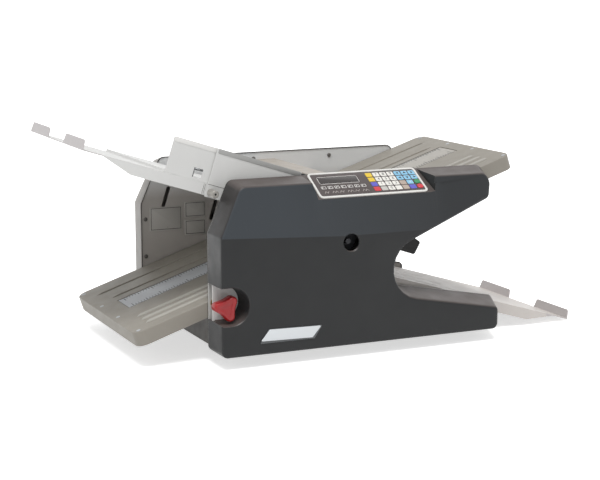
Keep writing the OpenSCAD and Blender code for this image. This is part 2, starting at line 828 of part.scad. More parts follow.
module exit_idlers() {
  color([0.85, 0.85, 0.83]) {
    rod(idler_c, -far_end, far_end, shaft_r);
    for (y = wheel_ys) rod(idler_c, y - wheel_w / 2, y + wheel_w / 2, exit_d / 2);
  }
}

// Hand knob: scalloped round its rim
knob_face = front_y + 8;
flute_r = 28;
flute_in = 11;
knob_turn = 50;
module hand_knob() {
  color([0.72, 0.10, 0.13]) difference() {
    rod(knob_c, knob_face, knob_face + knob_t, knob_r);
    for (i = [0:knob_lobes - 1])
      rod(beside(knob_c, 360 / knob_lobes * (i + 0.5) + knob_turn, flute_in + flute_r),
        knob_face - 1, knob_face + knob_t + 1, flute_r);
    rod(knob_c, knob_face + 4, knob_face + knob_t + 1, 4);
  }
}

module knob_shaft() {
  color([0.80, 0.80, 0.78]) {
    rod(knob_c, knob_face + 4, -recess_floor + plate_t + fit, 4);
    rod(knob_c, -recess_floor + plate_t + fit, -plate_y, shaft_r);
    rod(knob_c, knob_belt_y - gear_w, knob_belt_y, knob_pulley_r);
  }
}

// White bracket behind the knob: it closes the recess and carries the shaft's outer end
module knob_bracket() {
  start = left_x + cover_wall + 1;
  top = knob_z + recess_up + recess_r + 6;
  low = knob_z + recess_up - recess_r - 6;
  color([0.90, 0.90, 0.89]) difference() {
    union() {
      translate([start, -recess_floor, low]) cube([54, plate_t, top - low]);
      translate([left_x + 0.5, -recess_floor, knob_z + recess_up - recess_r + fit])
        cube([start - left_x, plate_t, 2 * (recess_r - fit)]);
      for (z = [low, top - 2]) translate([start, -recess_floor, z]) cube([54, 17, 2]);
    }
    rod(knob_c, -recess_floor - 1, -recess_floor + plate_t + 1, 4 + bush_clear);
  }
}

// Small lever inside the near side plate that sets the skew; its pin turns in the plate
lever_c = [left_x + 310, throat_z + 38];
lever_t = 8;
lever_pin_r = 4;
module skew_lever() {
  color([0.07, 0.07, 0.07]) {
    hull() across(-plate_y + fit, -plate_y + fit + lever_t) {
      translate(lever_c) circle(r = 9, $fn = soft);
      translate(lever_c + [50, -1]) circle(r = 3, $fn = soft);
      translate(lever_c + [60, -9]) circle(r = 4, $fn = soft);
      translate(lever_c + [52, -23]) circle(r = 4, $fn = soft);
    }
    rod(lever_c, -cover_y - fit, -plate_y + fit, lever_pin_r);
    rod(lever_c, -cover_y - fit - 3, -cover_y - fit, lever_pin_r + 3);
  }
}

// A fold table's own frame: X from its outer end inwards, Z out of its upper face
module on_table_1() {
  translate([table_1_end[0], 0, table_1_end[1]]) rotate([0, table_1_tilt, 0]) children();
}

module on_table_2() {
  translate([table_2_end[0], 0, table_2_end[1]]) rotate([0, table_2_tilt, 0]) mirror([1, 0, 0]) children();
}

// Where the four fingers of each fold stop run, across the table
finger_1_ys = [-110, -75, 75, 110];
finger_2_ys = [-105, -35, 35, 105];
module finger_slots(ys, start, len, z_low, z_high) {
  for (y = ys) translate([start, y - slot_w / 2, z_low]) cube([len, slot_w, z_high - z_low]);
}

module table_flange(start, full, len) {
  rotate([90, 0, 0]) linear_extrude(sheet_t)
    polygon([[start, 0], [len, 0], [len, -flange_h], [full, -flange_h]]);
}

tab_lean = 3;
module table_tab() {
  r = tab_corner;
  ends = [tab_lean + r, tab_len - tab_lean - r];
  rotate([90, 0, 90]) linear_extrude(sheet_t) {
    polygon([[0, -sheet_t], [tab_len, -sheet_t], [tab_len - tab_lean, tab_h - r], [ends[1], tab_h - r],
      [ends[1], tab_h], [ends[0], tab_h], [ends[0], tab_h - r], [tab_lean, tab_h - r]]);
    for (y = ends) translate([y, tab_h - r]) circle(r = r, $fn = soft);
  }
}

// Lower sheet of a fold table: flat plate, two tapered side flanges and two end tabs
module table_sheet(len, start, full) {
  half = table_w / 2;
  translate([0, -half, -sheet_t]) cube([len, table_w, sheet_t]);
  translate([0, -half + sheet_t, 0]) table_flange(flange_start, flange_full, len);
  translate([0, half, 0]) table_flange(start, full, len);
  translate([0, half - tab_len, 0]) table_tab();
  translate([0, tab_len - half, 0]) mirror([0, 1, 0]) table_tab();
}

// Upper sheet, on two side rails that set the paper gap; its outer end is folded down
upper_half = table_w / 2 - 0.5;
module table_upper(start, len) {
  half = upper_half;
  translate([start, -half, pocket_h]) cube([len - start, 2 * half, sheet_t]);
  translate([start, -half, 0]) cube([sheet_t, 2 * half, pocket_h]);
  for (y = [-half, half - 6]) translate([start, y, 0]) cube([len - start, 6, pocket_h]);
}

stop_1_home = table_1_len - 26;
stop_2_home = table_2_len - 30;
slot_play = 8;
// How far the slots of fold table 2 run on past the stop's outermost place
slot_run_out = 86;
slot_1_from = stop_1_home - stop_travel - slot_play;
slot_1_len = stop_travel + 2 * slot_play;
slot_2_from = stop_2_home - stop_travel - slot_run_out;
slot_2_len = stop_travel + slot_run_out + slot_play;

module table_1_sheet() {
  color([0.86, 0.86, 0.85]) on_table_1() difference() {
    table_sheet(table_1_len, far_start, far_full);
    screw_bores();
  }
}

wall_y = -upper_half;
wall_end = upper_1_start + 92;
window_in = 45;
module table_1_upper() {
  color([0.86, 0.86, 0.85]) on_table_1() difference() {
    union() {
      table_upper(upper_1_start, table_1_len);
      translate([upper_1_start, wall_y, pocket_h]) cube([wall_end - upper_1_start, sheet_t, wall_h]);
    }
    finger_slots(finger_1_ys, slot_1_from, slot_1_len, -1, pocket_h + 3);
    translate([upper_1_start + window_in, wall_y - 1, pocket_h + sheet_t]) cube([window, 4, window]);
  }
}

// Bracket that carries fold table 1 on both side plates; the near one is a tall wall with a top flange
bracket_y = -table_w / 2 - 2;
bracket_start = wall_end - 20;
bracket_end = table_1_len - 46;
module bracket_bosses(wall) {
  for (x = [bracket_start + 60, bracket_end - 30]) translate([x, wall, -flange_h + 6])
    rotate([90, 0, 0]) cylinder(r = 5, h = plate_y + bracket_y - sheet_t, $fn = fine);
}

module table_1_bracket() {
  len = bracket_end - bracket_start;
  low = -flange_h - 2;
  flange_len = bracket_end - wall_end - fit;
  color([0.80, 0.80, 0.79]) on_table_1() difference() {
    union() {
      translate([bracket_start, bracket_y - sheet_t, low]) cube([len, sheet_t, wall_h + pocket_h - low]);
      translate([bracket_end - flange_len, bracket_y - sheet_t, wall_h + pocket_h - sheet_t])
        cube([flange_len, 14, sheet_t]);
      translate([bracket_start, -bracket_y, low]) cube([len, sheet_t, -low]);
      bracket_bosses(bracket_y - sheet_t);
      bracket_bosses(plate_y);
    }
    screw_bores();
  }
}

// Bores for the two thumb screws through the brackets and the table's flanges
screw_s = wall_end - 12;
screw_z = -flange_h + 6;
screw_r = 2;
module screw_bores() {
  translate([screw_s, plate_y, screw_z]) rotate([90, 0, 0])
    cylinder(r = screw_r + bush_clear, h = 2 * plate_y, $fn = fine);
}

module table_2_sheet() {
  color([0.86, 0.86, 0.85]) on_table_2() difference() {
    table_sheet(table_2_len, flange_start, flange_full);
    finger_slots(finger_2_ys, slot_2_from, slot_2_len, -3, 1);
  }
}

module table_2_upper() {
  rail_end = table_2_len - 12;
  color([0.84, 0.84, 0.83]) on_table_2() {
    difference() {
      table_upper(upper_2_start, table_2_len - 12);
      finger_slots(finger_2_ys, slot_2_from, slot_2_len, -1, pocket_h + 3);
    }
    for (side = [-1, 1]) translate([rail_end - 200, 0, -flange_h - fit - 2]) {
      shelf = table_w / 2 - 10;
      translate([0, side > 0 ? shelf : -plate_y, 0]) cube([200, plate_y - shelf, 2]);
    }
  }
}

// The drive of a fold stop: Z out of the slotted sheet's outer face
module on_drive_1() {
  on_table_1() translate([0, 0, pocket_h + sheet_t]) children();
}

module on_drive_2() {
  on_table_2() translate([0, 0, -sheet_t]) mirror([0, 0, 1]) children();
}

stepper = 28;
spindle_r = 3;
spindle_z = stepper / 2;
stop_half = 7;
drive_1_y = -table_w / 2 + 21.5;
drive_2_y = 0;
motor_1_end = stop_1_home - stop_travel - stop_half - 4;
motor_2_end = stop_2_home - stop_travel - stop_half - 4;

module along_spindle(start, end, y, r) {
  translate([start, y, spindle_z]) rotate([0, 90, 0]) cylinder(r = r, h = end - start, $fn = fine);
}

// A fold stop: four fingers in the pocket, a bar outside the sheet, and the nut on the spindle
bar_gap = 0.5;
bar_t = 2.4;
module stop_comb(home, y, ys) {
  low = -sheet_t - pocket_h + fit;
  bar_start = min(ys[0], y) - 8;
  difference() {
    union() {
      for (f = ys) translate([home - 2, f - slot_w / 2 + 0.5, low]) cube([4, slot_w - 1, bar_gap + 1 - low]);
      translate([home - stop_half, bar_start, bar_gap]) cube([2 * stop_half, ys[3] + 8 - bar_start, bar_t]);
      translate([home - stop_half, y - 8, bar_gap]) cube([2 * stop_half, 16, spindle_z + 7 - bar_gap]);
    }
    along_spindle(home - stop_half - 1, home + stop_half + 1, y, spindle_r + bush_clear);
  }
}

module fold_stop_1() {
  color([0.55, 0.56, 0.58]) on_drive_1() stop_comb(stop_1_home, drive_1_y, finger_1_ys);
}

module fold_stop_2() {
  color([0.55, 0.56, 0.58]) on_drive_2() stop_comb(stop_2_home, drive_2_y, finger_2_ys);
}

// A stepper motor and the end bearing of its threaded spindle
module stop_motor(end, home, y) {
  difference() {
    union() {
      translate([end - stepper, y - stepper / 2, 0]) cube([stepper, stepper, stepper]);
      translate([home + stop_half + 2, y - 8, 0]) cube([6, 16, spindle_z + 7]);
    }
    along_spindle(end - 12, home + stop_half + 20, y, spindle_r + bush_clear);
  }
}

module stop_motors() {
  color([0.25, 0.26, 0.28]) {
    on_drive_1() stop_motor(motor_1_end, stop_1_home, drive_1_y);
    on_drive_2() stop_motor(motor_2_end, stop_2_home, drive_2_y);
  }
}

module stop_screw_1() {
  color([0.75, 0.76, 0.78]) on_drive_1()
    along_spindle(motor_1_end - 11, stop_1_home + stop_half + 10, drive_1_y, spindle_r);
}

module stop_screw_2() {
  color([0.75, 0.76, 0.78]) on_drive_2()
    along_spindle(motor_2_end - 11, stop_2_home + stop_half + 10, drive_2_y, spindle_r);
}

// Knurled screws that hold fold table 1 to its brackets
module thumb_screws() {
  color([0.78, 0.76, 0.72]) on_table_1() for (side = [-1, 1])
    mirror([0, side > 0 ? 1 : 0, 0]) translate([screw_s, bracket_y - sheet_t, screw_z]) rotate([90, 0, 0])
      difference() {
        union() {
          cylinder(r = 6, h = thumb_len, $fn = fine);
          translate([0, 0, -3 * sheet_t - 2]) cylinder(r = screw_r, h = 8, $fn = fine);
        }
        translate([0, 0, thumb_len - 4]) cylinder(r = 1.6, h = 6, $fn = fine);
      }
}

// A tray: ribbed top, rim on three sides, rounded outer corners, and a stud on each side that hangs it
// between the side plates; X from its outer end inwards
rib_ys = [-126, -105, -84, -63, 63, 84, 105, 126];
module tray_plan(len, grow) {
  half = tray_w / 2 + grow;
  r = tray_corner + grow;
  translate([-grow + r, -half + r]) circle(r = r, $fn = fine);
  translate([-grow + r, half - r]) circle(r = r, $fn = fine);
  translate([-grow + r, -half]) square([len + grow - r, 2 * half]);
  translate([-grow, -half + r]) square([len + grow, 2 * (half - r)]);
}

module tray(len) {
  difference() {
    union() {
      translate([0, 0, -tray_rim]) linear_extrude(tray_rim) tray_plan(len, 0);
      for (y = rib_ys) translate([28, y - 3, 0]) cube([len - 34, 6, rib_h]);
      translate([len - 24, plate_y - fit, -tray_rim / 2]) rotate([90, 0, 0])
        cylinder(r = 4, h = 2 * (plate_y - fit), $fn = fine);
    }
    translate([0, 0, -tray_rim - 1]) linear_extrude(tray_rim + 1 - tray_wall) tray_plan(len + 1, -tray_wall);
    translate([26, -strip_w / 2, -1]) cube([len, strip_w, 2]);
  }
}

module on_exit_tray() {
  translate([exit_end[0], 0, exit_end[1]]) rotate([0, -tray_tilt, 0]) children();
}

module on_feed_tray() {
  translate([feed_end[0], 0, feed_end[1]]) rotate([0, -tray_tilt, 0]) mirror([1, 0, 0]) children();
}

module exit_tray() { color([0.59, 0.57, 0.54]) on_exit_tray() tray(exit_len); }
module feed_tray() { color([0.59, 0.57, 0.54]) on_feed_tray() tray(feed_len); }

module tray_scales() {
  color([0.80, 0.80, 0.79]) {
    on_exit_tray() translate([30, -strip_w / 2 + 2, -1]) cube([exit_len - 34, strip_w - 4, 0.8]);
    on_feed_tray() translate([30, -strip_w / 2 + 2, -1]) cube([feed_len - 34, strip_w - 4, 0.8]);
  }
}

// Mains inlet with its rocker switch, in the rear cover
inlet_x = left_x + 60;
inlet_z = 60;
inlet_w = 48;
inlet_h = 28;
switch_w = 16;
module power_inlet() {
  color([0.06, 0.06, 0.06]) difference() {
    union() {
      translate([inlet_x + fit, rear_y - 22, inlet_z + fit]) cube([inlet_w - 2 * fit, 22, inlet_h - 2 * fit]);
      translate([inlet_x - 3, rear_y, inlet_z - 3]) cube([inlet_w + 6, inlet_t, inlet_h + 6]);
    }
    translate([inlet_x + 3, rear_y - 16, inlet_z + 5]) cube([24, 20, 18]);
    translate([inlet_x + inlet_w - switch_w - 2, rear_y - 14, inlet_z + 3]) cube([switch_w, 22, inlet_h - 6]);
  }
  color([0.75, 0.70, 0.45]) for (i = [-1, 0, 1])
    translate([inlet_x + 15 + 7 * i - 1, rear_y - 16.5, inlet_z + 13]) cube([2, 12, 4]);
}

rocker_r = 10;
module power_switch() {
  x = inlet_x + inlet_w - switch_w - 2;
  z = inlet_z + inlet_h / 2;
  color([0.10, 0.10, 0.10]) difference() {
    translate([x + fit, rear_y - 8, z]) rotate([0, 90, 0]) cylinder(r = rocker_r - 1, h = switch_w - 2 * fit, $fn = fine);
    translate([x, rear_y - 40, z - 20]) cube([switch_w, 28, 40]);
    translate([x - 1, rear_y + 10, z]) rotate([0, 90, 0]) cylinder(r = 12, h = switch_w + 2, $fn = fine);
  }
}

module placed() {
  translate(shift) children();
}

placed() near_side_plate();
placed() far_side_plate();
placed() base_pan();
placed() cross_panel();
placed() cross_rods();
placed() feet();
placed() front_cover();
placed() rear_cover();
placed() edge_trims();
placed() cover_screws();
placed() label_plates();
placed() panel_bezel();
placed() keypad_overlay();
placed() display_window();
placed() number_keys();
placed() function_keys();
placed() start_key();
placed() stop_key();
placed() circuit_boards();
placed() drive_motor();
placed() motor_pulley();
placed() drive_belts();
placed() roller_bushes();
placed() main_roller();
placed() upper_roller();
placed() left_roller();
placed() lower_roller();
placed() main_gear();
placed() upper_gear();
placed() left_gear();
placed() lower_gear();
placed() feed_shaft();
placed() feed_tyres();
placed() feed_clutch();
placed() retard_pad();
placed() infeed_plate();
placed() feed_guard();
placed() exit_shaft();
placed() exit_wheels();
placed() exit_idlers();
placed() hand_knob();
placed() knob_shaft();
placed() knob_bracket();
placed() skew_lever();
placed() table_1_sheet();
placed() table_1_upper();
placed() table_1_bracket();
placed() table_2_sheet();
placed() table_2_upper();
placed() fold_stop_1();
placed() fold_stop_2();
placed() stop_motors();
placed() stop_screw_1();
placed() stop_screw_2();
placed() thumb_screws();
placed() feed_tray();
placed() exit_tray();
placed() tray_scales();
placed() power_inlet();
placed() power_switch();
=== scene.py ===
# A desktop paper folding machine: covers, trays, keypad, knob and plates are modelled here, and
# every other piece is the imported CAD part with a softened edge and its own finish.
import math

import bmesh
import bpy
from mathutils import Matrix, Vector

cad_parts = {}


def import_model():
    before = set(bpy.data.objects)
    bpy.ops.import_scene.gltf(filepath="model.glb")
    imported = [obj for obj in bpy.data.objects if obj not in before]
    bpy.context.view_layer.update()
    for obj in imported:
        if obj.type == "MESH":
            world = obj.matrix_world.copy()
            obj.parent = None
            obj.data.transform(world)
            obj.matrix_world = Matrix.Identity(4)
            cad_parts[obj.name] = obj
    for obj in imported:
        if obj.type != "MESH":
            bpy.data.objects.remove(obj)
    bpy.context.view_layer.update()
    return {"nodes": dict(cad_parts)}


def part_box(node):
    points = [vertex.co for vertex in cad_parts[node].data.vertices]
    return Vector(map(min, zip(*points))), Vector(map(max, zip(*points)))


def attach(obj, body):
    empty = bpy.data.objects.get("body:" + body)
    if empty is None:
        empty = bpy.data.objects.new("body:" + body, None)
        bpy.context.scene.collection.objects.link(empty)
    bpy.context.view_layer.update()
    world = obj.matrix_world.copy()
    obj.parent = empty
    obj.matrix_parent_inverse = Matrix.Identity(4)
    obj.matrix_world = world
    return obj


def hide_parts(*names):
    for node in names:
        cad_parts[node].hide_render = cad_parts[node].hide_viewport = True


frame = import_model()

# -------------------- places and sizes, in millimetres
MM = 0.001
PLATE_OUT = 159
LEFT, BOTTOM, TOP = -250, 20, 287
FRONT_DEPTH, REAR_DEPTH, SKIN = 58, 33, 3
FRONT, REAR = -PLATE_OUT - FRONT_DEPTH, PLATE_OUT + REAR_DEPTH

cover_low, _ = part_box("front_cover")
near_low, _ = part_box("near_side_plate")
_, far_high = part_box("far_side_plate")
ORIGIN = Vector((cover_low.x - LEFT * MM, (near_low.y + far_high.y) / 2, 0))


def at(x, y, z):
    """A point of the machine's own frame, in millimetres, as a point of the scene."""
    return ORIGIN + Vector((x, y, z)) * MM


def turn(degrees):
    """The cosine and the sine."""
    return math.cos(math.radians(degrees)), math.sin(math.radians(degrees))


def sloping(x0, z0, degrees, way=1):
    """A frame on a sloping sheet: s runs along it from its outer end, h stands up from it."""
    c, k = turn(degrees)
    return lambda s, y, h: at(x0 + way * s * c - h * k, y, z0 + way * s * k + h * c)


TRAY_SLOPE, TABLE_1_SLOPE = 18.4, -17.7
exit_at = sloping(-369, 58, TRAY_SLOPE)
feed_at = sloping(297, 301, TRAY_SLOPE, -1)
table_1_at = sloping(-441.06, 344.01, TABLE_1_SLOPE)

PANEL_LEFT, PANEL_LEN, PANEL_DEPTH, PANEL_SLOPE = -84, 192, 63, 30


def panel_at(u, v, w):
    """On the control panel: u along the machine, v down the slope when negative, w out of it."""
    c, k = turn(PANEL_SLOPE)
    return at(PANEL_LEFT + u, -PLATE_OUT + v * c - w * k, TOP + 1 + v * k + w * c)


# The crease across the front cover: level from its corner to the right, rising slowly to the left.
CREASE_X, CREASE_Z, CREASE_DROP = -44, 196, 10 / 204


def crease(x):
    return CREASE_Z + max(0.0, CREASE_X - x) * CREASE_DROP


# -------------------- materials
def srgb(text):
    """A linear colour from six hexadecimal digits."""
    values = [int(text[i:i + 2], 16) / 255 for i in (0, 2, 4)]
    return tuple(v / 12.92 if v <= 0.04045 else ((v + 0.055) / 1.055) ** 2.4 for v in values) + (1.0,)


def scaled(colour, share):
    return tuple(min(1.0, c * share) for c in colour[:3]) + (1.0,)


class Nodes:
    """Short ways to add and join the nodes of a material or of the world."""

    def __init__(self, tree):
        self.nodes, self.links = tree.nodes, tree.links

    def node(self, kind, **values):
        """A new node: each value goes to the input of that name, or else to the node's own setting."""
        made = self.nodes.new(kind)
        for key, value in values.items():
            if key in made.inputs:
                made.inputs[key].default_value = value
            else:
                setattr(made, key, value)
        return made

    def join(self, source, target):
        self.links.new(source, target)

    def maths(self, operation, *sources):
        made = self.node("ShaderNodeMath", operation=operation)
        for source, socket in zip(sources, made.inputs):
            self.join(source, socket)
        return made.outputs[0]

    def span(self, source, low, high, to_low=0, to_high=1):
        """The source's range from low to high, carried over to another range and held at its ends."""
        span = self.node("ShaderNodeMapRange", **{"From Min": low, "From Max": high, "To Min": to_low,
                                                  "To Max": to_high})
        self.join(source, span.inputs["Value"])
        return span.outputs["Result"]

    def blend(self, share, first, second):
        """A mix of two colours, each given as a value or as a node's output."""
        mix = self.node("ShaderNodeMix", data_type="RGBA")
        self.join(share, mix.inputs[0])
        for socket, value in ((mix.inputs[6], first), (mix.inputs[7], second)):
            if isinstance(value, tuple):
                socket.default_value = value
            else:
                self.join(value, socket)
        return mix.outputs[2]

    def seen_by(self, *rays):
        """1 for the named kinds of ray, such as Is Camera Ray, and 0 for the rest."""
        path = self.node("ShaderNodeLightPath")
        share = path.outputs[rays[0]]
        for ray in rays[1:]:
            share = self.maths("MAXIMUM", share, path.outputs[ray])
        return share


class Shader(Nodes):
    """The nodes of a new material."""

    def __init__(self, name):
        self.material = bpy.data.materials.new(name)
        self.material.use_nodes = True
        super().__init__(self.material.node_tree)
        self.surface = self.nodes["Principled BSDF"]

    def settings(self, values):
        for key, value in values.items():
            self.surface.inputs[key].default_value = value

    def noise(self, size, detail, stretch=(1, 1, 1)):
        """Clouds of a size in millimetres, stretched along the three directions."""
        where = self.node("ShaderNodeTexCoord")
        mapping = self.node("ShaderNodeMapping", Scale=stretch)
        texture = self.node("ShaderNodeTexNoise", Scale=1 / (size * MM), Detail=detail)
        self.join(where.outputs["Object"], mapping.inputs["Vector"])
        self.join(mapping.outputs["Vector"], texture.inputs["Vector"])
        return texture.outputs["Fac"]

    def part(self, vector, letter):
        split = self.node("ShaderNodeSeparateXYZ")
        self.join(vector, split.inputs[0])
        return split.outputs[letter]

    def place(self, letter):
        """The point's X, Y or Z in the scene."""
        return self.part(self.node("ShaderNodeTexCoord").outputs["Object"], letter)

    def between(self, letter, low, high, to_low=0, to_high=1):
        """A span between two places of the machine's own frame, in millimetres."""
        start = ORIGIN["XYZ".index(letter)]
        return self.span(self.place(letter), start + low * MM, start + high * MM, to_low, to_high)

    def facing(self, letter):
        """How far the surface faces X, Y or Z, from -1 to 1."""
        return self.part(self.node("ShaderNodeNewGeometry").outputs["Normal"], letter)

    def edges(self, radius):
        """1 along sharp outer edges and 0 on flat ground."""
        bevel = self.node("ShaderNodeBevel", Radius=radius * MM, samples=4)
        ground = self.node("ShaderNodeNewGeometry")
        dot = self.node("ShaderNodeVectorMath", operation="DOT_PRODUCT")
        self.join(bevel.outputs["Normal"], dot.inputs[0])
        self.join(ground.outputs["Normal"], dot.inputs[1])
        return self.span(dot.outputs["Value"], 0.98, 0.82)


EDGE_WEAR_AND_HIGHLIGHT_WIDTH, WEAR_AND_HIGHLIGHT_PATCHES, COAT_ROUGH, GLOSS_SWING = 0.9, 6, 0.12, 0.07


def finish(name, digits, rough, metal=0.0, mottle=0.07, cloud=45, grain=0.5, depth=0.02, wear_and_highlight=0.3,
           wear_and_highlight_colour=None, brushed=(1, 1, 1), spec=0.5, coat=0.0, shade=None):
    """One painted, moulded or metal surface: clouded colour, uneven gloss, fine grain, and pale rubbed
    edges, which on the charcoal cover are also a painted highlight. Clouds, grain and its depth are in
    millimetres;
    a shade function paints light and shade into the colour by place."""
    shader = Shader(name)
    colour = srgb(digits)
    shader.settings({"Metallic": metal, "Specular IOR Level": spec, "Coat Weight": coat,
                     "Coat Roughness": COAT_ROUGH})
    clouds = shader.span(shader.noise(cloud, 4, brushed), 0.3, 0.7)
    tone = shader.blend(clouds, scaled(colour, 1 - mottle), scaled(colour, 1 + mottle))
    fine = shader.noise(grain, 2, brushed)
    speck = shader.span(fine, 0.35, 0.65)
    tone = shader.blend(shader.span(speck, 0, 1, 0, 0.25), tone, scaled(colour, 1 - 2 * mottle))
    if shade:
        tone = shade(shader, tone)
    # Pale edges: rubbed paint, which on the charcoal cover is also a painted highlight along its edges.
    if wear_and_highlight > 0:
        patch = shader.span(shader.noise(WEAR_AND_HIGHLIGHT_PATCHES, 3), 0.42, 0.62, 0.15, 1)
        mask = shader.maths("MULTIPLY", shader.edges(EDGE_WEAR_AND_HIGHLIGHT_WIDTH), patch)
        edge_tone = srgb(wear_and_highlight_colour) if wear_and_highlight_colour else scaled(colour, 1.9)
        tone = shader.blend(shader.span(mask, 0, 1, 0, wear_and_highlight), tone, edge_tone)
    shader.join(tone, shader.surface.inputs["Base Color"])
    gloss = shader.span(shader.noise(cloud / 3, 4, brushed), 0.3, 0.7, max(0.04, rough - GLOSS_SWING),
                        rough + GLOSS_SWING)
    shader.join(gloss, shader.surface.inputs["Roughness"])
    bump = shader.node("ShaderNodeBump", Strength=0.6, Distance=depth * MM)
    shader.join(fine, bump.inputs["Height"])
    shader.join(bump.outputs["Normal"], shader.surface.inputs["Normal"])
    return shader.material


def cover_painted_light(shader, tone):
    """Painted reflection and light: bluer and paler on the face above the crease, mostly at the left,
    and warm and paler where a face looks up, as light from above.
    """
    rise = shader.between("X", LEFT, CREASE_X, (CREASE_X - LEFT) * MM * CREASE_DROP, 0)
    height = shader.maths("SUBTRACT", shader.place("Z"), rise)
    above = shader.span(height, (CREASE_Z - 0.5) * MM, (CREASE_Z + 0.5) * MM, 0, 0.85)
    to_front = shader.span(shader.facing("Y"), -0.4, -0.8)
    share = shader.maths("MULTIPLY", above, shader.maths("MULTIPLY", to_front,
                                                         shader.between("X", -150, 150, 1, 0.25)))
    tone = shader.blend(share, tone, srgb("3d4247"))
    return shader.blend(shader.span(shader.facing("Z"), 0.35, 0.9, 0, 0.85), tone, srgb("5a524f"))


def tab_painted_shade(shader, tone):
    """Painted shade: duller and darker on the upright tabs at the fold tables' outer ends, where less
    light falls than on the sheet.
    """
    outer = shader.maths("MAXIMUM", shader.between("X", -410, -414), shader.between("X", 380, 384))
    upright = shader.span(shader.maths("ABSOLUTE", shader.facing("Z")), 0.75, 0.6, 0, 0.9)
    return shader.blend(shader.maths("MULTIPLY", outer, upright), tone, srgb("bdb8b8"))


def plate_painted_shadow(shader, tone):
    """Painted shadow and light: dim between the tables, where table 1 shades the plate, and pale at the
    top, above that shadow.
    """
    return shader.blend(shader.between("Z", 215, 255), tone, srgb("e3e4e4"))


def key_finish(name, digits, mottle=0.03, rough=0.36, coat=0.1):
    return finish(name, digits, rough, mottle=mottle, depth=0.01, wear_and_highlight=0.1, coat=coat)


def print_finish(name, digits, rough=0.45, mottle=0.02):
    return finish(name, digits, rough, mottle=mottle, wear_and_highlight=0)


# Sheet paint; its upright tabs get a painted shade.
SHEET = {"mottle": 0.025, "cloud": 70, "depth": 0.012, "wear_and_highlight": 0.25, "wear_and_highlight_colour": "f2f1ee",
         "shade": tab_painted_shade}

# The charcoal cover: its pale edge colour also paints a highlight along its edges, and its shade
# function paints light and reflection into its colour.
CHARCOAL = finish("charcoal_paint", "252627", 0.40, mottle=0.05, cloud=90, grain=0.7, depth=0.03,
                  wear_and_highlight_colour="8a8784", wear_and_highlight=0.4, spec=0.28, shade=cover_painted_light)
HOUSING = finish("housing_paint", "a3a09c", 0.45, mottle=0.03, grain=0.7, depth=0.03)
WHITE_PAINT = finish("white_paint", "dcdcda", 0.40, **SHEET)
TABLE_PAINT = finish("table_paint", "d0cac5", 0.40, **SHEET)
PLATE_PAINT = finish("plate_paint", "c6c5c2", 0.42, mottle=0.03, cloud=70, depth=0.012, wear_and_highlight=0.2)
# The far plate's inner face is painted darker than the near plate as shade, with painted light at its
# top.
FAR_PLATE_PAINTED_SHADE = finish("far_plate_painted_shade", "b1aca7", 0.45, mottle=0.04, cloud=70, depth=0.012, wear_and_highlight=0.2,
                   shade=plate_painted_shadow)
PAN_PAINT = finish("pan_paint", "4e4b47", 0.5, mottle=0.06, depth=0.03)
GUARD_PAINT = finish("guard_paint", "a59d93", 0.42, mottle=0.03, depth=0.012)
HEM_GREY = finish("hem_grey", "a9a9a7", 0.45, mottle=0.03, cloud=30, depth=0.012, wear_and_highlight=0.2)
HEM_WHITE = finish("hem_white", "e9e8e5", 0.40, mottle=0.02, cloud=30, depth=0.01, wear_and_highlight=0.1)

STEEL = finish("ground_steel", "b9bbbd", 0.28, metal=1.0, mottle=0.08, cloud=20, grain=0.3,
               depth=0.006, brushed=(1, 0.08, 1), wear_and_highlight=0.2)
DARK_SCREW = finish("dark_screw", "74716e", 0.4, metal=0.6, mottle=0.1, cloud=8, depth=0.01)
THUMB_STEEL = finish("thumb_steel", "a09d97", 0.34, metal=0.3, mottle=0.08, cloud=8, depth=0.01)
BRONZE = finish("bush_bronze", "9c7a45", 0.4, metal=1.0, mottle=0.12, cloud=6, depth=0.01)
MOTOR_DARK = finish("motor_dark", "44464a", 0.45, metal=0.4, mottle=0.06, cloud=20, depth=0.02)
NAME_METAL = finish("name_metal", "dde1e4", 0.33, metal=0.1, mottle=0.04, cloud=30, grain=0.3,
                    depth=0.008, brushed=(0.1, 1, 1), wear_and_highlight=0.15)

BLACK_RUBBER = finish("black_rubber", "1d1d1e", 0.75, mottle=0.12, cloud=15, grain=0.4, depth=0.05)
ROLLER_RUBBER = finish("roller_rubber", "3b3c40", 0.6, mottle=0.1, cloud=12, grain=0.25, depth=0.06)
FEED_RUBBER = finish("feed_rubber", "7a5c45", 0.7, mottle=0.1, cloud=10, grain=0.3, depth=0.05)
GEAR_PLASTIC = finish("gear_plastic", "d8d3c4", 0.45, mottle=0.05, cloud=12, depth=0.015)
IDLER_PLASTIC = finish("idler_plastic", "b9b5ac", 0.45, mottle=0.05, cloud=12, depth=0.015)
BLACK_PLASTIC = finish("black_plastic", "161615", 0.5, mottle=0.08, cloud=20, depth=0.03,
                       wear_and_highlight_colour="4a4a4a", spec=0.3)
KNOB_RED = finish("knob_red", "9c0810", 0.36, mottle=0.05, cloud=14, depth=0.015, wear_and_highlight_colour="d4545a",
                  coat=0.12)
BOARD = finish("board", "1f5a35", 0.4, mottle=0.08, cloud=8, coat=0.3)

TRAY_PLASTIC = finish("tray_plastic", "918c83", 0.5, mottle=0.04, cloud=60, grain=0.6, depth=0.04,
                      wear_and_highlight=0.25, wear_and_highlight_colour="b4b1a9")
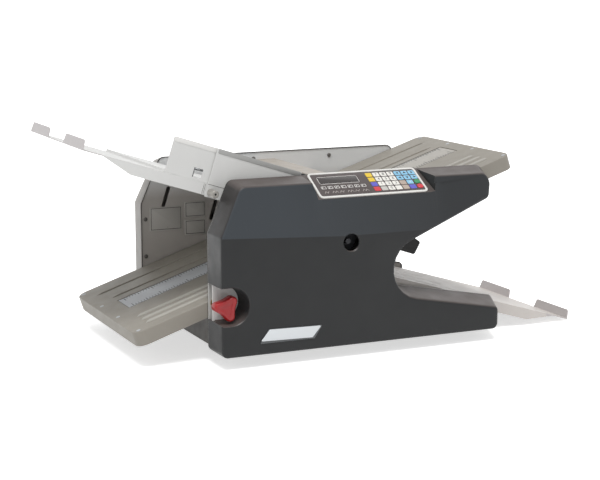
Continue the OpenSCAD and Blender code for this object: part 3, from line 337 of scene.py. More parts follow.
# Lighter than the tray's plastic: a painted highlight on the ribs and the cross bar.
RIDGE_PAINTED_HIGHLIGHT = finish("ridge_painted_highlight", "a9a69f", 0.5, mottle=0.03, cloud=60, grain=0.6, depth=0.03,
                       wear_and_highlight=0.2)
SCALE_PLASTIC = finish("scale_plastic", "b9bcc0", 0.42, mottle=0.03, cloud=50, depth=0.01, wear_and_highlight=0)
FEED_SCALE = finish("feed_scale", "aaa69f", 0.42, mottle=0.03, cloud=50, depth=0.01, wear_and_highlight=0)
SCALE_INK = print_finish("scale_ink", "2e2f32", 0.5, 0.05)

BASE_GREY = finish("base_grey", "55585a", 0.42, mottle=0.04, cloud=30, depth=0.01, wear_and_highlight=0.2)
BARE_LABEL = finish("bare_label", "b3b0ab", 0.34, mottle=0.02, cloud=25, depth=0.006, wear_and_highlight=0.1)
LABEL_LINE = print_finish("label_line", "4e4b48", 0.5, 0.04)
BEZEL_PLASTIC = finish("bezel_plastic", "e6e5e1", 0.35, mottle=0.02, depth=0.01, wear_and_highlight=0.1)
OVERLAY_FILM = finish("overlay_film", "4a4140", 0.34, mottle=0.04, cloud=40, grain=0.35, depth=0.012,
                      wear_and_highlight=0, coat=0.15)
DISPLAY_GLASS = finish("display_glass", "2a2321", 0.10, mottle=0.05, cloud=30, depth=0.002, wear_and_highlight=0,
                       coat=0.6)
PRINT_WHITE = print_finish("print_white", "e9e8e4")
PRINT_DIM = print_finish("print_dim", "aca5a0")
PRINT_DARK = print_finish("print_dark", "2c2b2e", 0.5, 0.03)
KEY_WHITE = key_finish("key_white", "eceae4", 0.02)
KEY_GREY = key_finish("key_grey", "c4c2bd", 0.02)
KEY_YELLOW = key_finish("key_yellow", "e8c63a")
KEY_PURPLE = key_finish("key_purple", "5f5bc2")
KEY_BLUE = key_finish("key_blue", "8ec7e6")
KEY_BEIGE = key_finish("key_beige", "b8a89c")
KEY_GREEN = key_finish("key_green", "2f8f5a", rough=0.34, coat=0.2)
KEY_RED = key_finish("key_red", "d0303c", rough=0.34, coat=0.2)


# -------------------- shapes
def mesh_of(points, faces):
    mesh = bpy.data.meshes.new("piece")
    mesh.from_pydata([tuple(p) for p in points], [], faces)
    work = bmesh.new()
    work.from_mesh(mesh)
    bmesh.ops.recalc_face_normals(work, faces=work.faces)
    work.to_mesh(mesh)
    work.free()
    return mesh


def link(name, data):
    """A new object in the scene's collection."""
    made = bpy.data.objects.new(name, data)
    bpy.context.scene.collection.objects.link(made)
    return made


def raw(shape):
    """A shape, given as points and faces, that is carved or carves another."""
    return link("raw", mesh_of(*shape))


def new_object(name, shape, material, node, slot, body="chassis", angle=32):
    """A finished piece from points and faces or a mesh: smooth except along edges sharper than the
    angle, riding on a body, in place of a CAD node where it has one."""
    mesh = shape if isinstance(shape, bpy.types.Mesh) else mesh_of(*shape)
    piece = link(name, mesh)
    mesh.materials.append(material)
    mesh.shade_smooth()
    mesh.set_sharp_from_angle(angle=math.radians(angle))
    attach(piece, body)
    if node:
        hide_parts(node)
    return piece


def loft(rings, end_cap=True, loop=False):
    """Points and faces of a skin over rings that all have the same number of points. A loop joins
    the last ring to the first and has no caps."""
    count = len(rings[0])
    points = [p for ring in rings for p in ring]
    faces = []
    for level in range(len(rings) if loop else len(rings) - 1):
        a, b = level * count, (level + 1) % len(rings) * count
        faces += [(a + i, a + (i + 1) % count, b + (i + 1) % count, b + i) for i in range(count)]
    if not loop:
        faces.append(tuple(range(count))[::-1])
        if end_cap:
            faces.append(tuple(range(len(points) - count, len(points))))
    return points, faces


def chain(circles, steps):
    """An outline round a string of circles (x, z, r), joined by straight tangents, anticlockwise.
    A radius below 0 bends the outline inwards."""
    normals = []
    for here, after in zip(circles, circles[1:] + circles[:1]):
        dx, dz = after[0] - here[0], after[1] - here[1]
        lean = (here[2] - after[2]) / math.hypot(dx, dz)
        normals.append(math.atan2(dz, dx) - math.pi / 2 + math.asin(max(-1.0, min(1.0, lean))))
    outline = []
    for i, (x, z, r) in enumerate(circles):
        start, end = normals[i - 1], normals[i]
        sweep = (end - start) % (2 * math.pi)
        if r < 0:
            sweep -= 2 * math.pi
        if abs(sweep) > 1.9 * math.pi:      # a straight joint, read as a whole turn
            sweep = 0
        for k in range(steps + 1):
            angle = start + sweep * k / steps
            outline.append((x + r * math.cos(angle), z + r * math.sin(angle)))
    return outline


def rounded(x0, y0, x1, y1, r, steps=6):
    return chain([(x0 + r, y0 + r, r), (x1 - r, y0 + r, r), (x1 - r, y1 - r, r), (x0 + r, y1 - r, r)],
                 steps)


def plate_form(x0, y0, x1, y1, r):
    """A round-cornered rectangle as a function of its inset."""
    return lambda inset: rounded(x0 + inset, y0 + inset, x1 - inset, y1 - inset, max(0.3, r - inset))


def slab(outline_at, place, low, high, edge, steps=2):
    """A plate with a rounded upper edge: outline_at(inset) gives its outline, and place(a, b, h)
    puts its points."""
    levels = [(low, 0)]
    for i in range(steps + 1):
        across, up = math.cos(math.pi / 2 * i / steps), math.sin(math.pi / 2 * i / steps)
        levels.append((high - edge + edge * up, edge * (1 - across)))
    return loft([[place(a, b, h) for a, b in outline_at(inset)] for h, inset in levels])


def merged(parts):
    """Several (points, faces) pairs as one."""
    points, faces = [], []
    for more_points, more_faces in parts:
        base = len(points)
        points += more_points
        faces += [tuple(base + i for i in face) for face in more_faces]
    return points, faces


def block(place, low, high):
    """A box in a local frame."""
    return loft([[place(x, y, z) for x, y in ((low[0], low[1]), (high[0], low[1]), (high[0], high[1]),
                                              (low[0], high[1]))] for z in (low[2], high[2])])


def turned(place, profile, sides, teeth_cut=0.0):
    """A turned part: profile lists (radius, height), or (radius, height, True) where every second
    point is cut in; place(a, b, h) puts its points."""
    rings = []
    for r, h, *knurled in profile:
        ring = []
        for i in range(sides):
            radius = r - teeth_cut if knurled and i % 2 else r
            angle = 2 * math.pi * i / sides
            ring.append(place(radius * math.cos(angle), radius * math.sin(angle), h))
        rings.append(ring)
    return loft(rings)


def carve(base, cutters):
    """The mesh that is left of a closed form once closed cutters are taken out of it, exactly."""
    for cutter in cutters:
        cut = base.modifiers.new("cut", "BOOLEAN")
        cut.object = cutter
        cut.operation = "DIFFERENCE"
        cut.solver = "EXACT"
    graph = bpy.context.evaluated_depsgraph_get()
    mesh = bpy.data.meshes.new_from_object(base.evaluated_get(graph))
    for used in [base] + cutters:
        bpy.data.objects.remove(used)
    return mesh


def soft_edges(piece, width, angle):
    """Rounds edges that are sharper than the angle."""
    bevel = piece.modifiers.new("edge", "BEVEL")
    bevel.width = width * MM
    bevel.segments = 2
    bevel.limit_method = "ANGLE"
    bevel.angle_limit = math.radians(angle)
    bevel.harden_normals = True


# -------------------- covers
THROAT = (95, 134, 39)                  # the rounded end of the throat between the arms: x, z, radius
THROAT_UP, THROAT_DOWN = 22, 10.5       # slopes of its two sides, in degrees
THROAT_DRAFT, ARM_DRAFT, LOWER_DRAFT = 11, 14, 22.4     # how far each edge draws in from plate to face
LOW_R, CROWN_R, TIP_R = 10, 14, 8       # corner radii: low ones, the top's, the lower arm's tip
LOWER_ARM, UPPER_ARM, CROWN_LEFT, SHOULDER_Z = 252, 224, -206, 205
LEAN_BACK = 0.13
POD_LEFT, POD_RIGHT = (-112, -86), (109, 135)           # where the cover swells out round the panel
HUMP_X, HUMP_WIDTH, HUMP_RISE, HUMP_FROM, HUMP_SPAN = 206, 20, 8, 225, 60
LIFT_Z, LIFT_X, LIFT, LIFT_MORE = (235, 266), (100, 215), 3, 6
FACE_CUTS = (-112, -103, -95, -86, 109, 117, 126, 135, 170, 190, 206, 222)
COVER_EDGE, COVER_EDGE_ANGLE = 0.9, 40


def throat_tip(x, grow, radius, normal):
    """A rounded arm tip that touches the throat's straight side."""
    level = normal[0] * THROAT[0] + normal[1] * THROAT[1] - (THROAT[2] + grow) - radius
    return x, (level - normal[0] * x) / normal[1], radius


def cover_outline(share, inset):
    """The cover's outline at a share of the front cover's depth, drawn in by an inset."""
    grow, draft = THROAT_DRAFT * share, ARM_DRAFT * share
    up_c, up_s = turn(THROAT_UP)
    down_c, down_s = turn(THROAT_DOWN)
    low_x = LOWER_ARM - LOWER_DRAFT * share
    crown_z = TOP - CROWN_R - draft
    circles = [(LEFT + LOW_R, BOTTOM + LOW_R, LOW_R), (low_x, BOTTOM + LOW_R, LOW_R),
               throat_tip(low_x + 2, grow, TIP_R, (down_s, down_c)),
               (THROAT[0], THROAT[1], -(THROAT[2] + grow)),
               throat_tip(UPPER_ARM + 2 - draft, grow, LOW_R, (up_s, -up_c)),
               (UPPER_ARM - draft, crown_z, CROWN_R), (CROWN_LEFT, crown_z, CROWN_R),
               (LEFT + LOW_R, SHOULDER_Z, LOW_R)]
    return chain([(x, z, r - inset) for x, z, r in circles], 10)


def smooth(value, low, high):
    share = min(1.0, max(0.0, (value - low) / (high - low)))
    return share * share * (3 - 2 * share)


def cover_point(side, x, depth, z):
    """Leans the front face back above its crease, less at the pod, and lifts the top's left part
    and the hump over the right arm."""
    reach = depth / FRONT_DEPTH
    hump = HUMP_RISE * math.exp(-((x - HUMP_X) / HUMP_WIDTH) ** 2)
    hump *= max(0.0, (z - HUMP_FROM) / HUMP_SPAN) * reach
    if side > 0:
        return at(x, PLATE_OUT + depth, z + hump)
    pod_start = smooth(x, *POD_LEFT)
    pod = pod_start * (1 - smooth(x, *POD_RIGHT))
    back = max(0.0, z - crease(x)) * LEAN_BACK * (1 - 0.7 * pod) * reach
    lift = smooth(z, *LIFT_Z) * (LIFT + LIFT_MORE * smooth(-x, *LIFT_X)) * (1 - pod_start) * reach
    return at(x, -(PLATE_OUT + depth - back), z + hump + lift)


def cover_body(side, full, inset, edge):
    """A closed cover form; an inset and a shorter depth give the hollow inside it."""
    start = -1.0 if inset else 0.0
    rings = [(start, inset)] + [(full * i / 6, inset) for i in range(1, 6)]
    for i in range(5):
        angle = math.pi / 2 * i / 4
        rings.append((full - edge + edge * math.sin(angle), inset + edge * (1 - math.cos(angle))))
    points, faces = loft([[(x, y, z) for x, z in cover_outline(max(0.0, y) / FRONT_DEPTH, shrink)]
                          for y, shrink in rings])
    mesh = bpy.data.meshes.new("cover")
    mesh.from_pydata(points, [], faces)
    work = bmesh.new()
    work.from_mesh(mesh)
    work.faces.ensure_lookup_table()
    face = work.faces[len(faces) - 1]
    geometry = [face] + list(face.edges) + list(face.verts)
    corner = (CREASE_X, 0, CREASE_Z)
    cuts = [(corner, (1, 0, 0)), (corner, (CREASE_DROP, 0, 1)), (corner, (0, 0, 1))]
    cuts += [((x, 0, 0), (1, 0, 0)) for x in FACE_CUTS]
    for centre, normal in cuts:
        made = bmesh.ops.bisect_plane(work, geom=geometry, dist=1e-4, plane_co=centre, plane_no=normal)
        geometry = made["geom"]
    pieces = [part for part in geometry if isinstance(part, bmesh.types.BMFace) and part.is_valid]
    bmesh.ops.triangulate(work, faces=pieces)
    for vert in work.verts:
        vert.co = cover_point(side, *vert.co)
    bmesh.ops.recalc_face_normals(work, faces=work.faces)
    work.to_mesh(mesh)
    work.free()
    return link("cover", mesh)


def prism(outline, low_y, high_y):
    """A cutter along Y with an outline in X and Z."""
    return raw(loft([[at(x, y, z) for x, z in outline] for y in (low_y, high_y)]))


KNOB = (-237, 96)
BOWL_MID, BOWL_R, BOWL_BACK = 100, 29, -176
BOWL_LEFT, BOWL_STEPS = LEFT - 8, 24
ACCESS = (-31, 185)
INLET = (-190, 60, 48, 28)              # x, z, width, height
VENTS, VENT_PITCH, VENT_LOW, VENT_HIGH, VENT_WIDTH = 8, 9, 62, 92, 4
SLOT_LOW, SLOT_HIGH, SLOT_BACK = 71.5, 128.5, -158.6    # the bowl's open left side
POCKET_FOOT = -81


def bowl_outline(grow):
    r = BOWL_R + grow
    angles = [math.radians(-90 + 180 * i / BOWL_STEPS) for i in range(BOWL_STEPS + 1)]
    arc = [(KNOB[0] + 3 + r * math.cos(a), BOWL_MID + r * math.sin(a)) for a in angles]
    return [(BOWL_LEFT, BOWL_MID - r)] + arc + [(BOWL_LEFT, BOWL_MID + r)]


def bowl_cutter(levels):
    """The knob's bowl over (y, growth) levels."""
    return raw(loft([[at(x, y, z) for x, z in bowl_outline(grow)] for y, grow in levels]))


def panel_cutter(grow):
    """The control panel's pocket, whose side walls flare out towards the face."""
    rings = []
    for w, out in ((-grow, 0), (40, 12)):
        low, high = -grow - out, PANEL_LEN + grow + out
        corners = ((low - 3, POCKET_FOOT), (high + 13, POCKET_FOOT), (high + 11, -PANEL_DEPTH),
                   (high + 5, 2), (low - 9, 2), (low - 4, -PANEL_DEPTH))
        rings.append([panel_at(u, v, w) for u, v in corners])
    return raw(loft(rings))


def front_cover():
    hollow_back = BOWL_BACK + 0.5
    hollow = link("hollow", carve(cover_body(-1, FRONT_DEPTH - SKIN, SKIN, 3), [
        panel_cutter(SKIN), bowl_cutter([(FRONT - 2, 2.5), (hollow_back, 2.5)])]))
    back = BOWL_BACK + 1
    bowl = bowl_cutter([(FRONT - 2, 1.6), (FRONT, 1.6), (FRONT + 1.2, 0.5), (FRONT + 3, 0),
                        (back - 6, -0.5), (back, -2.5)])
    left_slot = prism([(LEFT - 6, SLOT_LOW), (LEFT + 4, SLOT_LOW), (LEFT + 4, SLOT_HIGH),
                       (LEFT - 6, SLOT_HIGH)], FRONT - 3, SLOT_BACK)
    access_hole = raw(turned(lambda a, b, h: at(ACCESS[0] + a, h, ACCESS[1] + b), [
        (15.0, FRONT - 1), (15.0, FRONT), (13.6, FRONT + 1.4), (13.5, FRONT + 9)], 48))
    mesh = carve(cover_body(-1, FRONT_DEPTH, 0, 3.6),
                 [hollow, panel_cutter(0), bowl, left_slot, access_hole])
    cover = new_object("front_cover_shell", mesh, CHARCOAL, "front_cover", "charcoal", angle=26)
    soft_edges(cover, COVER_EDGE, COVER_EDGE_ANGLE)
    for edge in mesh.edges:
        ends = [(mesh.vertices[i].co - ORIGIN) / MM for i in edge.vertices]
        if all(end.y < FRONT + 0.5 and abs(end.z - crease(end.x)) < 0.05 for end in ends):
            edge.use_edge_sharp = True


def rear_cover():
    x, z, width, height = INLET
    cuts = [cover_body(1, REAR_DEPTH - SKIN, SKIN, 3),
            raw(block(at, (x, REAR - 8, z), (x + width, REAR + 6, z + height)))]
    for left in range(0, VENTS * VENT_PITCH, VENT_PITCH):
        vent = rounded(left, VENT_LOW, left + VENT_WIDTH, VENT_HIGH, VENT_WIDTH / 2 - 0.01)
        cuts.append(prism(vent, REAR - 6, REAR + 6))
    mesh = carve(cover_body(1, REAR_DEPTH, 0, 4.5), cuts)
    cover = new_object("rear_cover_shell", mesh, HOUSING, "rear_cover", "housing_grey", angle=26)
    soft_edges(cover, COVER_EDGE, COVER_EDGE_ANGLE)


front_cover()
rear_cover()

# -------------------- trays
EXIT_LEN, FEED_LEN = 254, 232
EXIT_STRIP, FEED_STRIP = (38, -24, 35), (27, -18, 40)   # the scale's start, low y and high y
TRAY_HALF, TRAY_R, TRAY_DEEP, TRAY_WALL = 154.5, 18, 24, 2.5
RIDGE_YS, DOT_YS = (-126, -105, -83), (141, 40, -45, -145)
GROOVES = ((106, 22), (60, 34))         # y, start
GROOVE_HALF, GROOVE_DEEP, RIDGE_HALF, RIDGE_RISE, RIDGE_FOOT = 4.8, 1.9, 3.6, 2.4, -0.1
TICK_PITCH, TICK_WIDTH, TICK_FIRST, TICK_EDGE = 5, 1.2, 8, 4
INK_LOW, INK_HIGH = -0.32, -0.24


def tray_outline(length, inset):
    r, half = TRAY_R - inset, TRAY_HALF - inset
    return chain([(TRAY_R, -TRAY_HALF + TRAY_R, r), (length - 2, -half + 0.5, 0.5),
                  (length - 2, half - 0.5, 0.5), (TRAY_R, TRAY_HALF - TRAY_R, r)], 8)


def groove(place, y, start, end):
    """A cutter for a shallow groove whose ends taper."""
    rings = []
    for s, share in ((start, 0.05), (start + 14, 1), (end - 14, 1), (end, 0.05)):
        top, foot = GROOVE_HALF * share, 0.7 * GROOVE_HALF * share
        rings.append([place(s, y + across, h) for across, h in (
            (-top, 1), (top, 1), (foot, -GROOVE_DEEP), (-foot, -GROOVE_DEEP))])
    return raw(loft(rings))


def ridge(place, y, start, end):
    """A rounded rib that fades out at both ends."""
    rings, steps = [], 6
    for s, share in ((start, 0.02), (start + 3, 0.7), (start + 8, 1.0), (end - 8, 1.0), (end - 3, 0.7),
                     (end, 0.02)):
        section = []
        for i in range(steps + 1):
            across, up = math.cos(math.pi * i / steps), abs(math.sin(math.pi * i / steps))
            across = math.copysign(abs(across) ** 0.6, across)
            rise = (RIDGE_RISE - RIDGE_FOOT) * share * up ** 0.6
            section.append(place(s, y + RIDGE_HALF * share * across, RIDGE_FOOT + rise))
        rings.append(section)
    return loft(rings)


def tray(name, node, place, length, strip):
    """The hollow shell with its grooves and the scale's bed, then its ridges and its cross bar."""
    start, low, high = strip
    body = raw(slab(lambda inset: tray_outline(length, inset), place, -TRAY_DEEP, 0, 1.4, 4))
    inner = raw(slab(lambda inset: tray_outline(length, TRAY_WALL + inset), place, -TRAY_DEEP - 2,
                     -TRAY_WALL, 1.5))
    bed = raw(block(place, (start - 2, low - 1, -1.1), (length + 5, high + 1, 3)))
    mesh = carve(body, [inner, bed] + [groove(place, y, s, length - 12) for y, s in GROOVES])
    new_object(name, mesh, TRAY_PLASTIC, node, "tray_plastic", angle=28)
    ribs = [ridge(place, y, 30, length - 8) for y in RIDGE_YS]
    ribs.append(block(place, (length - 26, -156.2, -15), (length - 20, 156.2, -9)))
    # The ribs and the cross bar take the lighter colour, a painted highlight.
    new_object(name + "_ribs", merged(ribs), RIDGE_PAINTED_HIGHLIGHT, node, "tray_plastic", angle=50)


def tray_scale(name, place, length, strip, marks, colour):
    """The pale scale strip with two rows of ticks, and the four dots at the tray's end."""
    start, low, high = strip
    end = length - 6
    face = slab(lambda inset: rounded(start + inset, low + inset, end - inset, high - inset, 1.5),
                place, -1.05, -0.3, 0.3)
    new_object(name, face, colour, "tray_scales", "plate_white")
    ticks = []
    for i in range(marks):
        s = start + TICK_FIRST + TICK_PITCH * i
        reach = 12 if i % 10 == 0 else (9 if i % 5 == 0 else 5)
        for y in (high - TICK_EDGE - reach, low + TICK_EDGE):
            ticks.append(block(place, (s, y, INK_LOW), (s + TICK_WIDTH, y + reach, INK_HIGH)))
    for y in (low + 0.4, high - 2.0):
        ticks.append(block(place, (start + 2, y, INK_LOW), (length - 8, y + 1.6, INK_HIGH + 0.02)))
    new_object(name + "_ticks", merged(ticks), SCALE_INK, "tray_scales", "plate_white")
    dots = [turned(lambda a, b, h: place(10 + a, y + b, h), [(3.4, -0.1), (3.4, 0.35), (2.7, 0.6)], 20)
            for y in DOT_YS]
    new_object(name + "_dots", merged(dots), SCALE_PLASTIC, "tray_scales", "plate_white")


tray("exit_tray_shell", "exit_tray", exit_at, EXIT_LEN, EXIT_STRIP)
tray("feed_tray_shell", "feed_tray", feed_at, FEED_LEN, FEED_STRIP)
tray_scale("exit_scale", exit_at, EXIT_LEN, EXIT_STRIP, 38, SCALE_PLASTIC)
tray_scale("feed_scale", feed_at, FEED_LEN, FEED_STRIP, 36, FEED_SCALE)

# -------------------- hand knob
KNOB_BACK = FRONT + 26
LOBES, LOBE_TURN, FLUTE_TURN = 3, 50, 110
LOBE_OUT, LOBE_R, FLUTE_OUT, FLUTE_R = 14, 7.5, 53, 40
KNOB_LEVELS = ((0, 1.2), (0.6, 0.4), (1.6, 0), (14.5, 0), (16.5, 0.6), (17.6, 1.8), (18, 3.4))
KNOB_DISH = ((0.62, 17.2), (0.62, 16.4), (0.3, 16.0))   # share of the face's outline, height


def knob_outline(inset):
    circles = []
    for i in range(LOBES):
        lobe_c, lobe_s = turn(LOBE_TURN + 360 / LOBES * i)
        flute_c, flute_s = turn(FLUTE_TURN + 360 / LOBES * i)
        circles.append((LOBE_OUT * lobe_c, LOBE_OUT * lobe_s, LOBE_R - inset))
        circles.append((FLUTE_OUT * flute_c, FLUTE_OUT * flute_s, -(FLUTE_R + inset)))
    return chain(circles, 10)


def knob_at(a, b, h):
    return at(KNOB[0] + a, KNOB_BACK - h, KNOB[1] + b)


knob_rings = [[knob_at(a, b, h) for a, b in knob_outline(inset)] for h, inset in KNOB_LEVELS]
face_outline = knob_outline(KNOB_LEVELS[-1][1])
knob_rings += [[knob_at(a * share, b * share, h) for a, b in face_outline] for share, h in KNOB_DISH]
new_object("hand_knob_grip", loft(knob_rings), KNOB_RED, "hand_knob", "knob_red", "hand_knob", 60)

# -------------------- control panel
# The bezel's section: gap to the pocket, corner radius, height.
FRAME_LEVELS = ((0.3, 7, 0), (0.3, 7, 1.3), (0.6, 6.7, 1.8), (1.1, 6.2, 2.0), (3.4, 3.9, 2.0),
                (3.8, 3.5, 1.7), (4.0, 3.3, 1.25), (4.0, 3.3, 0))
BUTTON_HOLE = ((5.5, -1), (5.5, 3))
BUTTON = ((5.2, 0.7), (5.2, 2.2), (4.9, 2.5), (4.2, 2.68), (2.4, 2.62), (0.6, 2.55))
KEY_COLS = [105 + 12.8 * i for i in range(7)]
KEY_ROWS = [-13 - 12 * j for j in range(4)]
KEY_WIDTH, KEY_DEPTH, KEY_R, KEY_LOW, KEY_HIGH = 11.0, 10.0, 1.6, 1.2, 1.9
PRINT_LOW, PRINT_HEIGHT, LINE = 1.19, 0.05, 0.85
SIGN_LOW, DIGIT_LOW, DIGIT_SIZE = 2.0, 2.08, 8.2
WINDOW = (15, -27, 81, -13)
SIGN_WIDTH, SIGN_PITCH, SIGN_VS = 7.5, 11.6, (-40.5, -35)


def panel_form(gap, r):
    return plate_form(gap, -PANEL_DEPTH + gap, PANEL_LEN - gap, -gap, r)


def window_frame(grow):
    return WINDOW[0] - grow, WINDOW[1] - grow, WINDOW[2] + grow, WINDOW[3] + grow


def button(row, profile):
    """A round key or its hole, in the last column."""
    return turned(lambda a, b, h: panel_at(KEY_COLS[6] + a, KEY_ROWS[row] + b, h), profile, 40)


def key_shape(u, v):
    """A key with round corners and a slightly crowned top."""
    rings = []
    for share, h in ((0, KEY_LOW), (0, KEY_HIGH - 0.45), (0.12, KEY_HIGH - 0.18),
                     (0.4, KEY_HIGH - 0.02), (0.9, KEY_HIGH)):
        half_u, half_v = KEY_WIDTH / 2 - share, KEY_DEPTH / 2 - share
        outline = rounded(u - half_u, v - half_v, u + half_u, v + half_v, KEY_R - share, 5)
        rings.append([panel_at(a, b, h) for a, b in outline])
    points, faces = loft(rings, end_cap=False)
    count, middle = len(rings[0]), len(points)
    last = middle - count
    points.append(panel_at(u, v, KEY_HIGH + 0.105))
    faces += [(last + i, last + (i + 1) % count, middle) for i in range(count)]
    return points, faces


def stroke(points, width=LINE):
    """A printed line: one flat bar for each stretch."""
    bars = []
    for start, end in zip(points, points[1:]):
        start, end = Vector(start), Vector(end)
        along = (end - start).normalized() * (width / 2)
        side = Vector((-along.y, along.x))
        corners = (start - along + side, start - along - side, end + along - side, end + along + side)
        bars.append(loft([[panel_at(a, b, h) for a, b in corners]
                          for h in (PRINT_LOW, PRINT_LOW + PRINT_HEIGHT)]))
    return merged(bars)


def triangle(u, v, reach, degrees):
    """A flat arrowhead on a key, pointing at the angle."""
    corners = []
    for step in (0, 120, 240):
        c, s = turn(degrees + step)
        corners.append((u + reach * c, v + reach * s))
    return loft([[panel_at(a, b, h) for a, b in corners] for h in (SIGN_LOW, SIGN_LOW + 0.06)])


def digit(text, u, v):
    """A plain number as points and faces, lying on its key."""
    curve = bpy.data.curves.new("digit", "FONT")
    curve.body = text
    curve.size = DIGIT_SIZE
    curve.align_x = "CENTER"
    curve.align_y = "CENTER"
    holder = link("digit", curve)
    graph = bpy.context.evaluated_depsgraph_get()
    graph.update()
    mesh = bpy.data.meshes.new_from_object(holder.evaluated_get(graph))
    points = [panel_at(u + p.co.x, v + p.co.y, DIGIT_LOW) for p in mesh.vertices]
    faces = [tuple(f.vertices) for f in mesh.polygons]
    bpy.data.objects.remove(holder)
    return points, faces


frame_rings = [[panel_at(u, v, h) for u, v in panel_form(gap, r)(0)] for gap, r, h in FRAME_LEVELS]
new_object("panel_frame", loft(frame_rings, loop=True), BEZEL_PLASTIC, "panel_bezel", "plate_white",
           angle=50)

left, low, right, high = window_frame(0.3)
film = carve(raw(slab(panel_form(4.05, 3.3), panel_at, 0, 1.2, 0.25)), [
    raw(button(2, BUTTON_HOLE)), raw(button(3, BUTTON_HOLE)),
    raw(block(panel_at, (left, low, 0.4), (right, high, 3)))])
new_object("keypad_film", film, OVERLAY_FILM, "keypad_overlay", "overlay")
new_object("display_pane", slab(plate_form(*WINDOW, 1.2), panel_at, 0.4, 1.4, 0.3), DISPLAY_GLASS,
           "display_window", "window")

for name, places, material, node, slot in (
        ("keys_white", [(i, j) for i in (1, 2, 3) for j in range(4) if (i, j) != (1, 3)], KEY_WHITE,
         "number_keys", "key_white"),
        ("keys_grey", [(1, 3)], KEY_GREY, "number_keys", "key_white"),
        ("keys_yellow", [(0, 0), (0, 1)], KEY_YELLOW, "function_keys", "key_colour"),
        ("keys_purple", [(0, 2), (5, 3)], KEY_PURPLE, "function_keys", "key_colour"),
        ("keys_red", [(0, 3)], KEY_RED, "function_keys", "key_colour"),
        ("keys_blue", [(4, 0), (5, 0), (6, 0), (4, 1), (5, 1), (6, 1), (5, 2)], KEY_BLUE,
         "function_keys", "key_colour"),
        ("keys_beige", [(4, 2), (4, 3)], KEY_BEIGE, "function_keys", "key_colour")):
    keys = [key_shape(KEY_COLS[i], KEY_ROWS[j]) for i, j in places]
    new_object(name, merged(keys), material, node, slot, angle=50)

for node, row, material, slot in (("start_key", 2, KEY_GREEN, "key_green"),
                                  ("stop_key", 3, KEY_RED, "key_red")):
    new_object(node + "_cap", button(row, BUTTON), material, node, slot, node, 50)

signs = []
for j, texts in enumerate(("789", "456", "123", " 0")):
    signs += [digit(text, KEY_COLS[i], KEY_ROWS[j]) for i, text in enumerate(texts, 1) if text != " "]
for i, j, degrees in ((4, 0, 180), (5, 0, 90), (6, 0, 0), (4, 1, 180), (5, 1, 270), (6, 1, 0)):
    signs.append(triangle(KEY_COLS[i], KEY_ROWS[j], 3.0, degrees))
new_object("key_print", merged(signs), PRINT_DARK, "number_keys", "key_white")

left, low, right, high = window_frame(1.6)
white_marks = [stroke(rounded(left, low, right, high, 2.0, 3) + [(left, low + 2.0)], 0.7)]
low, high = SIGN_VS
for i in range(7):
    left = 12 + SIGN_PITCH * i
    right = left + SIGN_WIDTH
    white_marks.append(stroke([(left, low), (right, low), (right, high), (left, high), (left, low)]))
    white_marks.append(stroke([(left + 1, low + 0.5), (left + 3 + i % 3, high - 0.5)]))
white_marks.append(triangle(KEY_COLS[5], KEY_ROWS[2], 1.6, 90))
new_object("panel_print", merged(white_marks), PRINT_WHITE, "keypad_overlay", "overlay")

dim_marks = []
for i in range(6):
    u = 13 + 13.2 * i
    dim_marks.append(stroke([(u + 2.6 * k, -51.5 + (4.2 if k % 2 else 0)) for k in range(4 + i % 2)]))
new_object("panel_print_dim", merged(dim_marks), PRINT_DIM, "keypad_overlay", "overlay")

# -------------------- plates, screws and small parts
NAME_BASE = [(-188, 38.2), (-95.5, 38), (-82, 58.3), (-173, 60)]
NAME_PLATE = [(-186.8, 42.2), (-99.2, 40.2), (-84.2, 57.6), (-171.8, 59.6)]
RATING_PLATES = ((-234, 158, 59, 42), (-170, 178, 39, 28), (-170, 147, 39, 27))  # x, z, width, height
PLATE_IN, NAME_R, LINE_GAP, LINE_WIDTH = 157, 1.2, 2, 0.9
TRIM_IN, TRIM_OUT = 156, 156.95
COVER_SCREWS = ((-242, 180), (-242, 115), (-39, 275), (109, 274))
SCREW_HEAD = ((3.6, 0), (3.6, 0.8), (3.2, 1.5), (2.2, 1.95), (1.5, 2.0), (1.2, 1.0), (0.3, 0.9))


def leaning_form(corners):
    """A round-cornered convex polygon, given anticlockwise, as a function of its inset."""
    centres = []
    for before, here, after in zip(corners[-1:] + corners[:-1], corners, corners[1:] + corners[:1]):
        here = Vector(here)
        to_before = (Vector(before) - here).normalized()
        to_after = (Vector(after) - here).normalized()
        half = to_before.angle(to_after) / 2
        centres.append(here + (to_before + to_after).normalized() * (NAME_R / math.sin(half)))
    return lambda inset: chain([(centre.x, centre.y, NAME_R - inset) for centre in centres], 4)


def front_place(a, b, h):
    return at(a, FRONT - h, b)


def inside_place(a, b, h):
    """On the far side plate's inner face."""
    return at(a, PLATE_IN - h, b)


def border(x0, z0, x1, z1, width):
    """Four flat bars round a rectangle on the far plate's inner face."""
    bars = ((x0, z0, x1, z0 + width), (x0, z1 - width, x1, z1), (x0, z0, x0 + width, z1),
            (x1 - width, z0, x1, z1))
    return [block(inside_place, (a0, b0, 0.7), (a1, b1, 0.86)) for a0, b0, a1, b1 in bars]


def trim_ring(y0, y1):
    """The black trim along a side plate's whole edge, throat included."""
    outer, inner = cover_outline(0, 0.3), cover_outline(0, 1.3)
    return loft([[at(x, y, z) for x, z in ring] for ring, y in (
        (outer, y0), (inner, y0), (inner, y1), (outer, y1))], loop=True)


def screw_head(x, y, z, way):
    """A low domed head with a recess, on a plate that faces along Y."""
    return turned(lambda a, b, h: at(x + a, y + way * h, z + b), SCREW_HEAD, 24)


new_object("name_plate_base", slab(leaning_form(NAME_BASE), front_place, -0.4, 1.1, 0.3), BASE_GREY,
           "label_plates", "label_white")
new_object("name_plate", slab(leaning_form(NAME_PLATE), front_place, 1.0, 2.0, 0.35, 3), NAME_METAL,
           "label_plates", "label_white")

